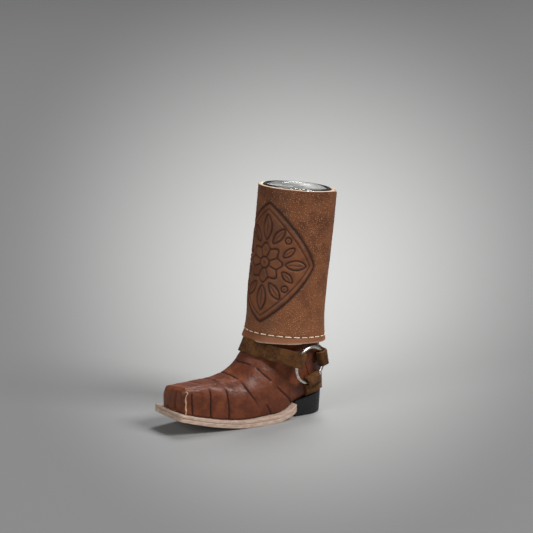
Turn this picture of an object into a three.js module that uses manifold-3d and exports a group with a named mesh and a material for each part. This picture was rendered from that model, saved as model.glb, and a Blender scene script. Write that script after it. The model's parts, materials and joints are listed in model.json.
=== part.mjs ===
// A small leather boot whose shaft holds a drinking glass.
// Millimetres, +Z up, toe towards -Y, the boot's left side towards +X.
// The origin lies on the floor under the middle of the heel.

import * as THREE from 'three';
import { mergeVertices } from 'three/addons/utils/BufferGeometryUtils.js';
import Module from 'manifold-3d';

const { degToRad, lerp, smoothstep } = THREE.MathUtils;

// Clearances
const glueGap = 0.3; // between pieces that are glued or sewn together
const slipGap = 0.35; // round the glass and the rings, which stay free

// Leather
const shaftLeather = 1.6; // thickness of the shaft's sheet
const upperLeather = 1.4; // thickness of vamp and counter
const strapLeather = 1.1; // thickness of the three straps
const strapWidth = 7.4;

// Shaft
const shaftLength = 73; // hem to top edge, along the shaft's axis
const shaftTopRadius = 18.6; // outside, as the two next
const shaftWaistRadius = 18.3;
const shaftHemRadius = 19.6;
const shaftFlare = 13; // the hem widens over this length
const shaftLean = degToRad(5.87); // backwards
const hemHeight = 38; // floor to the middle of the hem
const hemForward = 6.7; // heel middle to the middle of the hem
const lapAngle = degToRad(150); // where the sheet's outer end stops, from the front over the left
const lapRun = degToRad(46); // stretch in which the outer end climbs over the inner end
const lapRise = 0.6; // step at the outer end

// Glass
const glassProud = 0.5; // rim above the leather
const glassWall = 2.3;
const glassBase = 6;
const glassTaper = 1.3; // the foot's radius is smaller by this
const glassChamfer = 1; // round the foot
const glassFillet = 2; // round the inside of the base

// Sole
const toeReach = 72.4; // heel middle to the sole's front edge
const soleToeWidth = 25;
const soleBallWidth = 33.2;
const soleWaistWidth = 31;
const ballFront = 34; // the sole lies flat on the floor between these two distances
const ballBack = 20;
const toeSpring = 7.6; // height of the sole's front edge above the floor
const springCurve = 1.6; // how late the toe lifts
const outsoleThickness = 1.8;
const weltThickness = 1.5;
const weltMargin = 3.4; // welt showing in front of the toe
const soleCorner = 5; // rounding of the toe's corners
const waistCorner = 6; // rounding of the sole's back end

// Heel
const breastReach = 8; // heel middle to the heel's front face
const heelRadius = 11.2; // at the floor
const heelFlare = 0.7; // wider by this at the top
const breastHeight = 8; // heel seat at the front face
const seatRise = 3.9; // heel seat climbs by this over its length
const heelBackReach = 12.6; // heel middle to the back of the upper

// Upper
const upperToeWidth = 20.8;
const upperBallWidth = 28.8;
const upperWaistWidth = 26.8;
const ankleWidth = 28.2;
const toeHeight = 21.6; // top of the toe above the floor
const vampHeight = 22.3; // top of the vamp above the floor, where the instep begins
const toeBevel = 1.6; // bevel round the toe's flat front
const toeTilt = 1.6; // the toe's top is this much higher at its left edge, and lower at its right
const instepRadius = 22.5; // round hollow from vamp to shaft
const instepSwell = 2.4; // the instep stands out by this under the front strap
const shaftOverlap = 4; // the upper reaches this far into the shaft
const straightAnkle = degToRad(11); // stretch below the shaft where the front runs straight
const creaseDepth = 0.45;
const creaseWidth = 1.3;

// Insole
const insoleThickness = 1.5;

// Rings and straps
const ringBore = 15.9;
const ringWire = 1.7;
const ringHeight = 27;
const ringForward = 3.6; // heel middle to the ring's middle
const ringTurn = degToRad(10); // the ring faces backwards by this more than the ankle
const rearStrapSlope = degToRad(17.5); // climbs from the ring to the back
const underStrapSlope = degToRad(17); // leans backwards on its way down
const frontStrapLift = 1.2; // above the ring's middle
const foldTail = 3; // end of a strap behind its ring
const seatMiddleY = 2.2; // the under strap crosses the heel seat this far behind the heel's middle
const strapStand = 0.8; // rings and straps stand off the upper where it is hollow

// Facets
const cutMargin = 5; // cutting bodies reach this far past what they cut
const openTop = 4; // the upper's hollow runs on by these degrees past its top
const loopSides = 36; // round the upper
const shaftSides = 72;
const glassSides = 64;
const heelSides = 24;
const strapSteps = 3; // between two stops
const soleStep = 2.5; // between cross lines of the sole

// Values that follow
const ankleTopRadius = shaftRadius(shaftOverlap) - shaftLeather - slipGap;
const soleThickness = outsoleThickness + glueGap + weltThickness;
const toeY = -toeReach;
const breastY = -breastReach;
const seatSlope = seatRise / (breastReach + heelBackReach);
const axisBack = new THREE.Vector2(Math.sin(shaftLean), Math.cos(shaftLean));
const planeBack = new THREE.Vector2(Math.cos(shaftLean), -Math.sin(shaftLean));
const topAngle = Math.PI / 2 - shaftLean;
const hemFront = hemHeight + shaftHemRadius * Math.sin(shaftLean);
const frontStrapRise = hemFront - glueGap - strapWidth / 2 - ringHeight - frontStrapLift;
const frontStrapRun = hemForward + shaftHemRadius + instepSwell - ringForward;
const frontStrapSlope = Math.atan2(frontStrapRise, frontStrapRun); // from the ring up to the hem

// Outside of the shaft at a height above its hem
function shaftRadius(height) {
  const above = lerp(shaftWaistRadius, shaftTopRadius, smoothstep(height, shaftFlare, shaftLength));
  const open = Math.max(1 - height / shaftFlare, 0);
  return above + (shaftHemRadius - shaftWaistRadius) * open * open;
}

// The instep's centre of curvature, as (y, z), in front of the ankle
const pivot = new THREE.Vector2(-hemForward, hemHeight)
  .addScaledVector(axisBack, shaftOverlap)
  .addScaledVector(planeBack, -(ankleTopRadius + instepRadius));

const wasm = await Module();
wasm.setup();

// Solids and geometries

function toSolid(geometry) {
  const bare = geometry.clone();
  bare.deleteAttribute('normal');
  bare.deleteAttribute('uv');
  const merged = mergeVertices(bare);
  const vertProperties = Float32Array.from(merged.attributes.position.array);
  const triVerts = Uint32Array.from(merged.index.array);
  return new wasm.Manifold(new wasm.Mesh({ numProp: 3, vertProperties, triVerts }));
}

function toGeometry(solid) {
  const mesh = solid.getMesh();
  const geometry = new THREE.BufferGeometry();
  geometry.setAttribute('position', new THREE.BufferAttribute(mesh.vertProperties, 3));
  geometry.setIndex(new THREE.BufferAttribute(mesh.triVerts, 1));
  geometry.computeVertexNormals();
  return geometry;
}

function signedVolume(points, faces) {
  let volume = 0;
  for (let place = 0; place < faces.length; place += 3) {
    const [a, b, c] = faces.slice(place, place + 3).map((index) => points[index]);
    volume += new THREE.Vector3().crossVectors(b, c).dot(a) / 6;
  }
  return volume;
}

// Closed body through a row of loops that all have the same number of points
function loft(loops) {
  const count = loops[0].length;
  const points = loops.flat();
  const faces = [];
  for (let row = 0; row + 1 < loops.length; row += 1) {
    for (let side = 0; side < count; side += 1) {
      const next = (side + 1) % count;
      const a = row * count + side;
      const b = row * count + next;
      faces.push(a, b, b + count, a, b + count, a + count);
    }
  }
  const last = (loops.length - 1) * count;
  for (let side = 1; side + 1 < count; side += 1) {
    faces.push(0, side + 1, side);
    faces.push(last, last + side, last + side + 1);
  }
  if (signedVolume(points, faces) < 0) {
    faces.reverse();
  }
  const geometry = new THREE.BufferGeometry().setFromPoints(points);
  geometry.setIndex(faces);
  return geometry;
}

// Side view outline, given as (y, z), drawn out to both sides of the middle plane
function sideExtrude(outline, width) {
  const shape = new THREE.Shape(outline);
  const geometry = new THREE.ExtrudeGeometry(shape, { depth: width, bevelEnabled: false });
  geometry.translate(0, 0, -width / 2);
  const sideways = new THREE.Matrix4().makeBasis(
    new THREE.Vector3(0, 1, 0),
    new THREE.Vector3(0, 0, 1),
    new THREE.Vector3(1, 0, 0),
  );
  return geometry.applyMatrix4(sideways);
}

// Sole line: the height of the surface that the upper stands on, along y

function soleTop(y) {
  if (y < -ballFront) {
    const share = (-ballFront - y) / (toeReach - ballFront);
    return soleThickness + toeSpring * share ** springCurve;
  }
  if (y < -ballBack) {
    return soleThickness;
  }
  if (y < breastY) {
    const share = (y + ballBack) / (ballBack - breastReach);
    return lerp(soleThickness, breastHeight, share * share);
  }
  return breastHeight + seatSlope * (y - breastY);
}

function soleLine(from, to, shift) {
  const stops = [-ballFront, -ballBack, breastY].filter((stop) => stop > from && stop < to);
  const count = Math.ceil((to - from) / soleStep);
  for (let step = 0; step <= count; step += 1) {
    stops.push(lerp(from, to, step / count));
  }
  stops.sort((a, b) => a - b);
  const clear = stops.filter((stop, place) => place === 0 || stop - stops[place - 1] > soleStep / 10);
  return clear.map((y) => new THREE.Vector2(y, soleTop(y) + shift));
}

const soleEnds = [toeY - cutMargin, heelBackReach + cutMargin];
const bodyWidth = 3 * shaftHemRadius;
const bodyTop = hemHeight + shaftLength;

function aboveSole(shift) {
  const line = soleLine(soleEnds[0], soleEnds[1], shift);
  line.push(new THREE.Vector2(soleEnds[1], bodyTop), new THREE.Vector2(soleEnds[0], bodyTop));
  return toSolid(sideExtrude(line, bodyWidth));
}

function soleLayer(low, high) {
  const bottom = soleLine(soleEnds[0], breastY, low);
  const top = soleLine(soleEnds[0], breastY, high).reverse();
  return toSolid(sideExtrude(bottom.concat(top), bodyWidth));
}

// Upper: loops in upright planes over the toe, then in planes that swing round the pivot

// Smooth value between keys, each a station and a value
function valueAt(keys, station) {
  const passed = keys.filter((key) => key[0] <= station).length;
  const place = THREE.MathUtils.clamp(passed - 1, 0, keys.length - 2);
  const [x0, y0] = keys[Math.max(place - 1, 0)];
  const [x1, y1] = keys[place];
  const [x2, y2] = keys[place + 1];
  const [x3, y3] = keys[Math.min(place + 2, keys.length - 1)];
  const share = THREE.MathUtils.clamp((station - x1) / (x2 - x1), 0, 1);
  const slopeIn = ((y2 - y0) / (x2 - x0)) * (x2 - x1);
  const slopeOut = ((y3 - y1) / (x3 - x1)) * (x2 - x1);
  const square = share * share;
  const cube = square * share;
  return (
    (2 * cube - 3 * square + 1) * y1 +
    (cube - 2 * square + share) * slopeIn +
    (3 * square - 2 * cube) * y2 +
    (cube - square) * slopeOut
  );
}

// A station is a distance ahead of the pivot when negative, and an angle in degrees when positive
const topStation = THREE.MathUtils.radToDeg(topAngle);
const toeStation = toeY + weltMargin - pivot.x;
const shoulderStation = toeStation + toeBevel;
const halfWidths = [
  [shoulderStation, upperToeWidth / 2],
  [shoulderStation / 2, (upperToeWidth + upperBallWidth) / 4 - 0.3],
  [0, upperBallWidth / 2 - 0.5],
  [18, upperBallWidth / 2],
  [38, (upperBallWidth + upperWaistWidth) / 4],
  [54, upperWaistWidth / 2],
  [66, ankleWidth / 2],
  [73, (ankleWidth / 2 + ankleTopRadius) / 2],
  [79, ankleTopRadius - 0.3],
  [topStation, ankleTopRadius],
];
const crowns = [
  [shoulderStation, 6],
  [shoulderStation / 2, 5],
  [0, 3.3],
  [30, 2.3],
  [topStation, 2],
];
const floors = [
  [shoulderStation, 6],
  [0, 4.5],
  [40, 3.2],
  [60, 2.3],
  [topStation, 2],
];
const widest = [
  [shoulderStation, 0.6],
  [0, 0.62],
  [45, 0.56],
  [topStation, 0.5],
];
const underSole = 3; // the loops reach this far below the sole line, where they are cut
const tiltEnd = 20; // station where the top is level again

function stationFrame(station) {
  if (station < 0) {
    return { base: new THREE.Vector2(pivot.x + station, pivot.y), down: new THREE.Vector2(0, -1) };
  }
  const angle = degToRad(station);
  return { base: pivot, down: new THREE.Vector2(Math.sin(angle), -Math.cos(angle)) };
}

function nearReach(station) {
  const vampReach = pivot.y - vampHeight;
  if (station < 0) {
    const share = Math.max(station, shoulderStation) / shoulderStation;
    return lerp(vampReach, pivot.y - toeHeight, share ** 0.8);
  }
  const fromTop = Math.min(topAngle - degToRad(station), straightAnkle);
  const swell = instepSwell * smoothstep(station, 20, 50) * (1 - smoothstep(station, 62, 72));
  return lerp(vampReach, instepRadius / Math.cos(fromTop) - swell, smoothstep(station, 0, 26));
}

function farReach(station) {
  const { base, down } = stationFrame(station);
  let reach = instepRadius;
  while (base.y + down.y * reach > soleTop(base.x + down.x * reach) && reach < toeReach * 2) {
    reach += 0.05;
  }
  const toSole = reach + underSole;
  if (station <= 0) {
    return toSole;
  }
  const toBack = (heelBackReach - base.x) / down.x;
  const toTube = (instepRadius + 2 * ankleTopRadius) / Math.cos(topAngle - degToRad(station));
  return lerp(Math.min(toSole, toBack), toTube, smoothstep(station, 67, 79));
}

function power(value, crown) {
  return Math.sign(value) * Math.abs(value) ** (2 / crown);
}

// inset shrinks the loop all round, relief is the depth of a crease
function upperLoop(station, inset, relief) {
  const { base, down } = stationFrame(station);
  const bevel = Math.max(shoulderStation - station, 0);
  const near = nearReach(station) + inset + bevel;
  const far = farReach(station) - inset;
  const half = valueAt(halfWidths, station) - inset - bevel;
  const middle = lerp(near, far, valueAt(widest, station));
  const tilt = toeTilt * (1 - smoothstep(station, shoulderStation / 2, tiltEnd));
  const loop = [];
  for (let side = 0; side < loopSides; side += 1) {
    const angle = (2 * Math.PI * side) / loopSides;
    const upper = Math.sin(angle) > 0;
    const crown = valueAt(upper ? crowns : floors, station);
    const shrink = 1 - relief / half;
    const edge = power(Math.cos(angle), crown);
    const across = half * shrink * edge;
    const depth = upper ? (near - tilt * edge - middle) * shrink : far - middle;
    const reach = middle + depth * Math.abs(power(Math.sin(angle), crown));
    loop.push(new THREE.Vector3(across, base.x + down.x * reach, base.y + down.y * reach));
  }
  return loop;
}

const plainStations = [-20, -17, -13, -6, 5, 10, 23, 29, 36, 48, 53, 57, 60, 63, 66, 69, 72, 76, 80];
const creases = [-19.5, -10.5, -1.2, 17, 41.5];
const creaseReach = instepRadius + upperBallWidth / 4; // pivot to the side of the vamp

function creaseStations() {
  const stations = [];
  for (const crease of creases) {
    const half = crease < 0 ? creaseWidth / 2 : THREE.MathUtils.radToDeg(creaseWidth / 2 / creaseReach);
    stations.push([crease - half, 0], [crease, creaseDepth], [crease + half, 0]);
  }
  return stations;
}

function upperSolid(inset, creased, lastStation) {
  const stations = [[toeStation + inset, 0], [shoulderStation, 0], [lastStation, 0]];
  const marks = creased ? creaseStations() : [];
  for (const station of plainStations) {
    if (station > shoulderStation + 0.8 && marks.every((mark) => Math.abs(mark[0] - station) > 0.8)) {
      stations.push([station, 0]);
    }
  }
  stations.push(...marks.filter((mark) => mark[0] > shoulderStation + 0.1));
  stations.sort((a, b) => a[0] - b[0]);
  return toSolid(loft(stations.map(([station, relief]) => upperLoop(station, inset, relief))));
}

const upperOutside = upperSolid(0, true, topStation);
const upperHollow = upperSolid(upperLeather, false, topStation + openTop);
const upperShell = upperOutside.subtract(upperHollow).intersect(aboveSole(glueGap));

// Seam between vamp and counter: a plane across the boot that the under strap and the rings cover
const ringY = -ringForward;

function seamSide(front) {
  const seatZ = soleTop(seatMiddleY);
  const lean = (ringY - seatMiddleY) / (ringHeight - seatZ);
  const shift = (front ? -glueGap : glueGap) / 2;
  const far = front ? soleEnds[0] : soleEnds[1];
  const edge = (z) => new THREE.Vector2(seatMiddleY + lean * (z - seatZ) + shift, z);
  const outline = [edge(0), edge(bodyTop), new THREE.Vector2(far, bodyTop), new THREE.Vector2(far, 0)];
  return toSolid(sideExtrude(outline, bodyWidth));
}

// The under strap passes through a notch in the lower edge of the upper
function strapNotch() {
  const notch = new THREE.BoxGeometry(bodyWidth, strapWidth + 2 * glueGap, 2 * insoleLift);
  notch.rotateX(Math.atan(seatSlope));
  notch.translate(0, seatMiddleY, soleTop(seatMiddleY));
  return toSolid(notch);
}

function makeVamp() {
  return toGeometry(upperShell.intersect(seamSide(true)).subtract(strapNotch()));
}

function makeCounter() {
  return toGeometry(upperShell.intersect(seamSide(false)).subtract(strapNotch()));
}

const coreSpace = upperSolid(upperLeather + glueGap, false, topStation);

// The insole lies on the under strap
const insoleLift = strapLeather + 2 * glueGap;

function makeInsole() {
  const top = aboveSole(insoleLift + insoleThickness);
  return toGeometry(coreSpace.intersect(aboveSole(insoleLift)).subtract(top));
}

function makeLast() {
  return toGeometry(coreSpace.intersect(aboveSole(insoleLift + insoleThickness + glueGap)));
}

// Sole and heel

function solePlan() {
  const toe = soleToeWidth / 2;
  const ball = soleBallWidth / 2;
  const waist = soleWaistWidth / 2;
  const endY = breastY - glueGap;
  const ballY = -(ballFront + ballBack) / 2;
  const frontRun = (ballY - toeY) * 0.3;
  const backRun = (endY - ballY) * 0.5;
  const shape = new THREE.Shape();
  shape.moveTo(0, toeY);
  shape.lineTo(toe - soleCorner, toeY);
  shape.quadraticCurveTo(toe, toeY, lerp(toe, ball, 0.1), toeY + soleCorner);
  shape.bezierCurveTo(lerp(toe, ball, 0.5), toeY + frontRun, ball, ballY - frontRun, ball, ballY);
  shape.bezierCurveTo(ball, ballY + backRun, waist, endY - backRun, waist, endY - waistCorner);
  shape.quadraticCurveTo(waist, endY, waist - waistCorner, endY);
  shape.lineTo(0, endY);
  const half = shape.getPoints(12);
  const other = half.slice(1, -1).map((point) => new THREE.Vector2(-point.x, point.y)).reverse();
  return new THREE.Shape(half.concat(other));
}

function soleBlank() {
  return toSolid(new THREE.ExtrudeGeometry(solePlan(), { depth: bodyTop / 2, bevelEnabled: false }));
}

function makeWelt() {
  return toGeometry(soleBlank().intersect(soleLayer(-weltThickness, 0)));
}

function makeOutsole() {
  const top = -weltThickness - glueGap;
  return toGeometry(soleBlank().intersect(soleLayer(top - outsoleThickness, top)));
}

function heelLoop(radius, z) {
  const loop = [new THREE.Vector3(-radius, breastY, z), new THREE.Vector3(radius, breastY, z)];
  for (let step = 0; step <= heelSides; step += 1) {
    const angle = (Math.PI * step) / heelSides;
    loop.push(new THREE.Vector3(radius * Math.cos(angle), radius * Math.sin(angle), z));
  }
  return loop;
}

function makeHeel() {
  const top = breastHeight + seatRise + cutMargin;
  const block = toSolid(loft([heelLoop(heelRadius, 0), heelLoop(heelRadius + heelFlare, top)]));
  return toGeometry(block.subtract(aboveSole(0)));
}

// Shaft and glass, in the shaft's own frame: z along its axis, from the hem upwards

function shaftLoop(inset, z, lap) {
  const radius = shaftRadius(z) - inset;
  const loop = [];
  for (let side = 0; side <= shaftSides; side += 1) {
    const turn = (2 * Math.PI * side) / shaftSides;
    const rise = lap * smoothstep(turn, 2 * Math.PI - lapRun, 2 * Math.PI - lapRun / 3);
    const angle = lapAngle + turn;
    loop.push(new THREE.Vector3((radius + rise) * Math.sin(angle), -(radius + rise) * Math.cos(angle), z));
  }
  return loop;
}

function makeShaft() {
  const flareSteps = 4;
  const heights = [];
  for (let step = 0; step <= flareSteps; step += 1) {
    heights.push((shaftFlare * step) / flareSteps);
  }
  heights.push((shaftFlare + shaftLength) / 2, shaftLength);
  const outside = heights.map((height) => shaftLoop(0, height, lapRise));
  const hollow = heights.map((height) => shaftLoop(shaftLeather, height, 0).slice(1));
  const above = hollow[hollow.length - 1].map((point) => point.clone().setZ(shaftLength + cutMargin));
  const below = hollow[0].map((point) => point.clone().setZ(-cutMargin));
  return toGeometry(toSolid(loft(outside)).subtract(toSolid(loft([below, ...hollow, above]))));
}

function makeGlass() {
  const rim = shaftTopRadius - shaftLeather - slipGap;
  const foot = rim - glassTaper;
  const bottom = shaftOverlap + glueGap;
  const top = shaftLength + glassProud;
  const lip = glassWall / 2;
  const profile = new THREE.Shape();
  profile.moveTo(0, bottom);
  profile.lineTo(foot - glassChamfer, bottom);
  profile.lineTo(foot, bottom + glassChamfer);
  profile.lineTo(rim, top - lip);
  profile.absarc(rim - lip, top - lip, lip, 0, Math.PI, false);
  profile.lineTo(foot - glassWall, bottom + glassBase + glassFillet);
  profile.lineTo(foot - glassWall - glassFillet, bottom + glassBase);
  profile.lineTo(0, bottom + glassBase);
  const points = profile.getPoints(4);
  return new THREE.LatheGeometry(points, glassSides).rotateX(Math.PI / 2);
}

// Rings and straps

const surface = new THREE.Mesh(
  toGeometry(upperSolid(0, false, topStation)),
  new THREE.MeshBasicMaterial({ side: THREE.DoubleSide }),
);
surface.updateMatrixWorld();
const probe = new THREE.Raycaster();

// Where a line from inside the ankle leaves the upper
function onSurface(from, direction) {
  probe.set(from, direction.clone().normalize());
  const hits = probe.intersectObject(surface);
  const hit = hits[hits.length - 1];
  const normal = hit.face.normal.clone();
  if (normal.dot(direction) < 0) {
    normal.negate();
  }
  return { point: hit.point.clone(), normal };
}

const wireRadius = ringWire / 2;
const ringRadius = ringBore / 2 + wireRadius;
const up = new THREE.Vector3(0, 0, 1);

function findRing() {
  const seat = onSurface(new THREE.Vector3(0, ringY, ringHeight), new THREE.Vector3(1, 0, 0));
  const stack = strapStand + strapLeather + slipGap + wireRadius;
  const normal = seat.normal.applyAxisAngle(up, ringTurn);
  const rise = up.clone().addScaledVector(normal, -up.dot(normal)).normalize();
  const back = new THREE.Vector3().crossVectors(rise, normal);
  return { centre: seat.point.addScaledVector(normal, stack), normal, rise, back };
}

const ring = findRing();

function makeRing() {
  return new THREE.TorusGeometry(ringRadius, wireRadius, 10, 40);
}

// A strap is a row of stops, each a middle point and the direction across the strap
function ribbon(stops) {
  const middles = new THREE.CatmullRomCurve3(stops.map((stop) => stop.point), false, 'centripetal');
  const acrosses = new THREE.CatmullRomCurve3(stops.map((stop) => stop.across), false, 'centripetal');
  const count = (stops.length - 1) * strapSteps;
  const loops = [];
  for (let step = 0; step <= count; step += 1) {
    const share = step / count;
    const middle = middles.getPoint(share);
    const along = middles.getTangent(share);
    const across = acrosses.getPoint(share);
    across.addScaledVector(along, -across.dot(along)).normalize();
    const out = new THREE.Vector3().crossVectors(along, across);
    const corner = (a, b) => middle.clone()
      .addScaledVector(across, (a * strapWidth) / 2)
      .addScaledVector(out, (b * strapLeather) / 2);
    loops.push([corner(-1, -1), corner(1, -1), corner(1, 1), corner(-1, 1)]);
  }
  return toSolid(loft(loops));
}

// The fold of a strap round the ring: tail behind the wire, bend inside the ring, run over the wire
function fold(heading, across, lift) {
  const bendRadius = wireRadius + slipGap + strapLeather / 2;
  const bendPlace = Math.sqrt((ringBore / 2) ** 2 - (strapWidth / 2 + lift) ** 2) + wireRadius;
  const base = ring.centre.clone().addScaledVector(across, lift);
  const stop = (along, outward) => ({
    point: base.clone().addScaledVector(heading, along).addScaledVector(ring.normal, outward),
    across,
  });
  const stops = [stop(bendPlace + foldTail, -bendRadius), stop(bendPlace + foldTail / 2, -bendRadius)];
  const bends = 4;
  for (let step = 0; step <= bends; step += 1) {
    const angle = (Math.PI * step) / bends;
    stops.push(stop(bendPlace - bendRadius * Math.sin(angle), -bendRadius * Math.cos(angle)));
  }
  stops.push(stop(ringRadius + wireRadius, bendRadius));
  return stops;
}

function mirrored(stops) {
  const flip = (vector) => new THREE.Vector3(-vector.x, vector.y, vector.z);
  const others = stops.map((stop) => ({ point: flip(stop.point), across: flip(stop.across) }));
  return others.reverse();
}

function headingAt(angle) {
  return ring.back.clone().multiplyScalar(Math.cos(angle)).addScaledVector(ring.rise, Math.sin(angle));
}

function onUpper(from, direction, stand) {
  const { point, normal } = onSurface(from, direction);
  const across = up.clone().addScaledVector(normal, -up.dot(normal)).normalize();
  return { point: point.addScaledVector(normal, stand + strapLeather / 2), across };
}

function makeFrontStrap() {
  const heading = headingAt(Math.PI - frontStrapSlope);
  const stops = fold(heading, headingAt(Math.PI / 2 - frontStrapSlope), frontStrapLift);
  const climb = Math.tan(frontStrapSlope);
  const fromY = -2 * hemForward;
  const from = new THREE.Vector3(0, fromY, ringHeight + frontStrapLift + climb * (ringY - fromY));
  for (const turn of [42, 28, 14]) {
    const angle = degToRad(turn);
    const direction = new THREE.Vector3(Math.sin(angle), -Math.cos(angle), climb * Math.cos(angle));
    stops.push(onUpper(from, direction, strapStand));
  }
  const middle = onUpper(from, new THREE.Vector3(0, -1, climb), strapStand);
  return toGeometry(ribbon([...stops, middle, ...mirrored(stops)]));
}

function makeRearStrap() {
  const stops = fold(headingAt(rearStrapSlope), headingAt(Math.PI / 2 + rearStrapSlope), 0);
  const from = new THREE.Vector3(0, 0, ringHeight + 1);
  for (const turn of [140, 160]) {
    const angle = degToRad(turn);
    stops.push(onUpper(from, new THREE.Vector3(Math.sin(angle), -Math.cos(angle), 0), glueGap));
  }
  const middle = onUpper(from, new THREE.Vector3(0, 1, 0), glueGap);
  return toGeometry(ribbon([...stops, middle, ...mirrored(stops)]));
}

function makeUnderStrap() {
  const stops = fold(headingAt(underStrapSlope - Math.PI / 2), headingAt(underStrapSlope), 0);
  const seatZ = soleTop(seatMiddleY);
  const slotZ = seatZ + glueGap + strapLeather / 2;
  for (const climb of [4.5 * strapLeather, 1.5 * strapLeather]) {
    const share = climb / (ringHeight - seatZ);
    const from = new THREE.Vector3(0, lerp(seatMiddleY, ringY, share), slotZ + climb);
    const { point, normal } = onSurface(from, new THREE.Vector3(1, 0, 0));
    const across = new THREE.Vector3().crossVectors(up, normal);
    stops.push({ point: point.addScaledVector(normal, strapStand + strapLeather / 2), across });
  }
  const edgeX = stops[stops.length - 1].point.x;
  const across = new THREE.Vector3(0, 1, seatSlope).normalize();
  const stop = (x) => ({ point: new THREE.Vector3(x, seatMiddleY, slotZ), across });
  stops.push(stop(edgeX - 1.5 * strapLeather), stop(edgeX / 2));
  return toGeometry(ribbon([...stops, stop(0), ...mirrored(stops)]));
}

// Materials

const finishes = {
  glass: { color: 0xdfe6e6, roughness: 0.05, metalness: 0 },
  shaft: { color: 0x7a4c2e, roughness: 0.62, metalness: 0 },
  upper: { color: 0x64382a, roughness: 0.35, metalness: 0 },
  strap: { color: 0x5f3f1e, roughness: 0.85, metalness: 0 },
  sole: { color: 0xcdb49e, roughness: 0.8, metalness: 0 },
  heel: { color: 0x232326, roughness: 0.5, metalness: 0 },
  nickel: { color: 0xdcd8ce, roughness: 0.22, metalness: 1 },
  board: { color: 0xa98a63, roughness: 0.9, metalness: 0 },
};

function piece(name, geometry, finish) {
  const mesh = new THREE.Mesh(geometry, new THREE.MeshStandardMaterial(finishes[finish]));
  mesh.name = name;
  return mesh;
}

// Assembly

const boot = new THREE.Group();
boot.add(
  piece('vamp', makeVamp(), 'upper'),
  piece('heel_counter', makeCounter(), 'upper'),
  piece('foot_last', makeLast(), 'board'),
  piece('insole', makeInsole(), 'board'),
  piece('welt', makeWelt(), 'sole'),
  piece('outsole', makeOutsole(), 'sole'),
  piece('heel_block', makeHeel(), 'heel'),
  piece('front_strap', makeFrontStrap(), 'strap'),
  piece('rear_strap', makeRearStrap(), 'strap'),
  piece('under_strap', makeUnderStrap(), 'strap'),
);

const shaft = new THREE.Group();
shaft.position.set(0, -hemForward, hemHeight);
shaft.rotation.x = -shaftLean;
shaft.add(piece('shaft_leather', makeShaft(), 'shaft'), piece('shot_glass', makeGlass(), 'glass'));
boot.add(shaft);

for (const [name, side] of [['left_ring', 1], ['right_ring', -1]]) {
  const wire = piece(name, makeRing(), 'nickel');
  wire.position.set(side * ring.centre.x, ring.centre.y, ring.centre.z);
  const normal = new THREE.Vector3(side * ring.normal.x, ring.normal.y, ring.normal.z);
  wire.quaternion.setFromUnitVectors(up, normal);
  boot.add(wire);
}

export default boot;
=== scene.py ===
"""Looks of a small leather boot whose shaft holds a drinking glass.

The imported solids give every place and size. Each visible piece is built here as a finer mesh
in the same frame: +Z up, toe towards -Y, the boot's left side towards +X, origin under the heel.
"""
from __future__ import annotations

import json
import logging
import math
from dataclasses import dataclass, field
from enum import Enum
from typing import Sequence

import bmesh
import bpy
import numpy as np
from mathutils import Matrix, Vector, noise

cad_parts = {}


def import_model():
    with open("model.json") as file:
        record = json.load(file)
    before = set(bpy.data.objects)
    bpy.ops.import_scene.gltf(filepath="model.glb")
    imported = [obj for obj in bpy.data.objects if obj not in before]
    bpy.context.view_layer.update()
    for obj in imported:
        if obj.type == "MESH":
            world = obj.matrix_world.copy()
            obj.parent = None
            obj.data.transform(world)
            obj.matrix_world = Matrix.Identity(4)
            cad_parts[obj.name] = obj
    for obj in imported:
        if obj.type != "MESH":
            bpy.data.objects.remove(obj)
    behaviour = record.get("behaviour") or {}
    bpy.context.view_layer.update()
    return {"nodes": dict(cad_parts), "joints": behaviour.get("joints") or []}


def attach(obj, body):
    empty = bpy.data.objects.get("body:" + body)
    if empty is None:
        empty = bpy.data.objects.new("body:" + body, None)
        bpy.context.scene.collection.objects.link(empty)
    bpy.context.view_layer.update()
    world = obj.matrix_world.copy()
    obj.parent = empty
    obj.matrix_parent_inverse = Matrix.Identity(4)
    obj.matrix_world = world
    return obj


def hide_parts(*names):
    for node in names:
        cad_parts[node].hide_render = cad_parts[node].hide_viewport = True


log = logging.getLogger("boot")

MM = 0.001
FULL_TURN = 2 * math.pi

Colour = tuple[float, float, float, float]
Keys = tuple[tuple[float, float], ...]
Array = np.ndarray


class Body(str, Enum):
    """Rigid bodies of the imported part."""

    BOOT = "boot"
    GLASS = "glass"
    LEFT_RING = "left_loop"
    RIGHT_RING = "right_loop"


class Slot(str, Enum):
    """Material slots of the record."""

    UPPER = "croc_leather"
    SHAFT = "shaft_leather"
    STRAP = "strap_suede"
    SOLE = "sole_leather"
    HEEL = "heel_rubber"
    RING = "nickel"
    GLASS = "clear_glass"


class Socket(str, Enum):
    """Socket types of the node groups."""

    VECTOR = "NodeSocketVector"
    FLOAT = "NodeSocketFloat"
    COLOUR = "NodeSocketColor"
    MATERIAL = "NodeSocketMaterial"
    GEOMETRY = "NodeSocketGeometry"


# Small mathematics


def srgb(red: int, green: int, blue: int) -> Colour:
    """Turns a colour as seen on a screen into linear light.

    Args:
        red: Red, 0 to 255.
        green: Green, 0 to 255.
        blue: Blue, 0 to 255.

    Returns:
        The linear colour with full alpha.
    """
    shares = [value / 255 for value in (red, green, blue)]
    linear = [s / 12.92 if s <= 0.04045 else ((s + 0.055) / 1.055) ** 2.4 for s in shares]
    return (linear[0], linear[1], linear[2], 1.0)


def smoothstep(value: Array | float, low: float, high: float) -> Array:
    """Climbs smoothly from 0 at low to 1 at high.

    Args:
        value: Where to read the step.
        low: Start of the climb.
        high: End of the climb.

    Returns:
        Values from 0 to 1.
    """
    share = np.clip((np.asarray(value, float) - low) / (high - low), 0, 1)
    return share * share * (3 - 2 * share)


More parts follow.
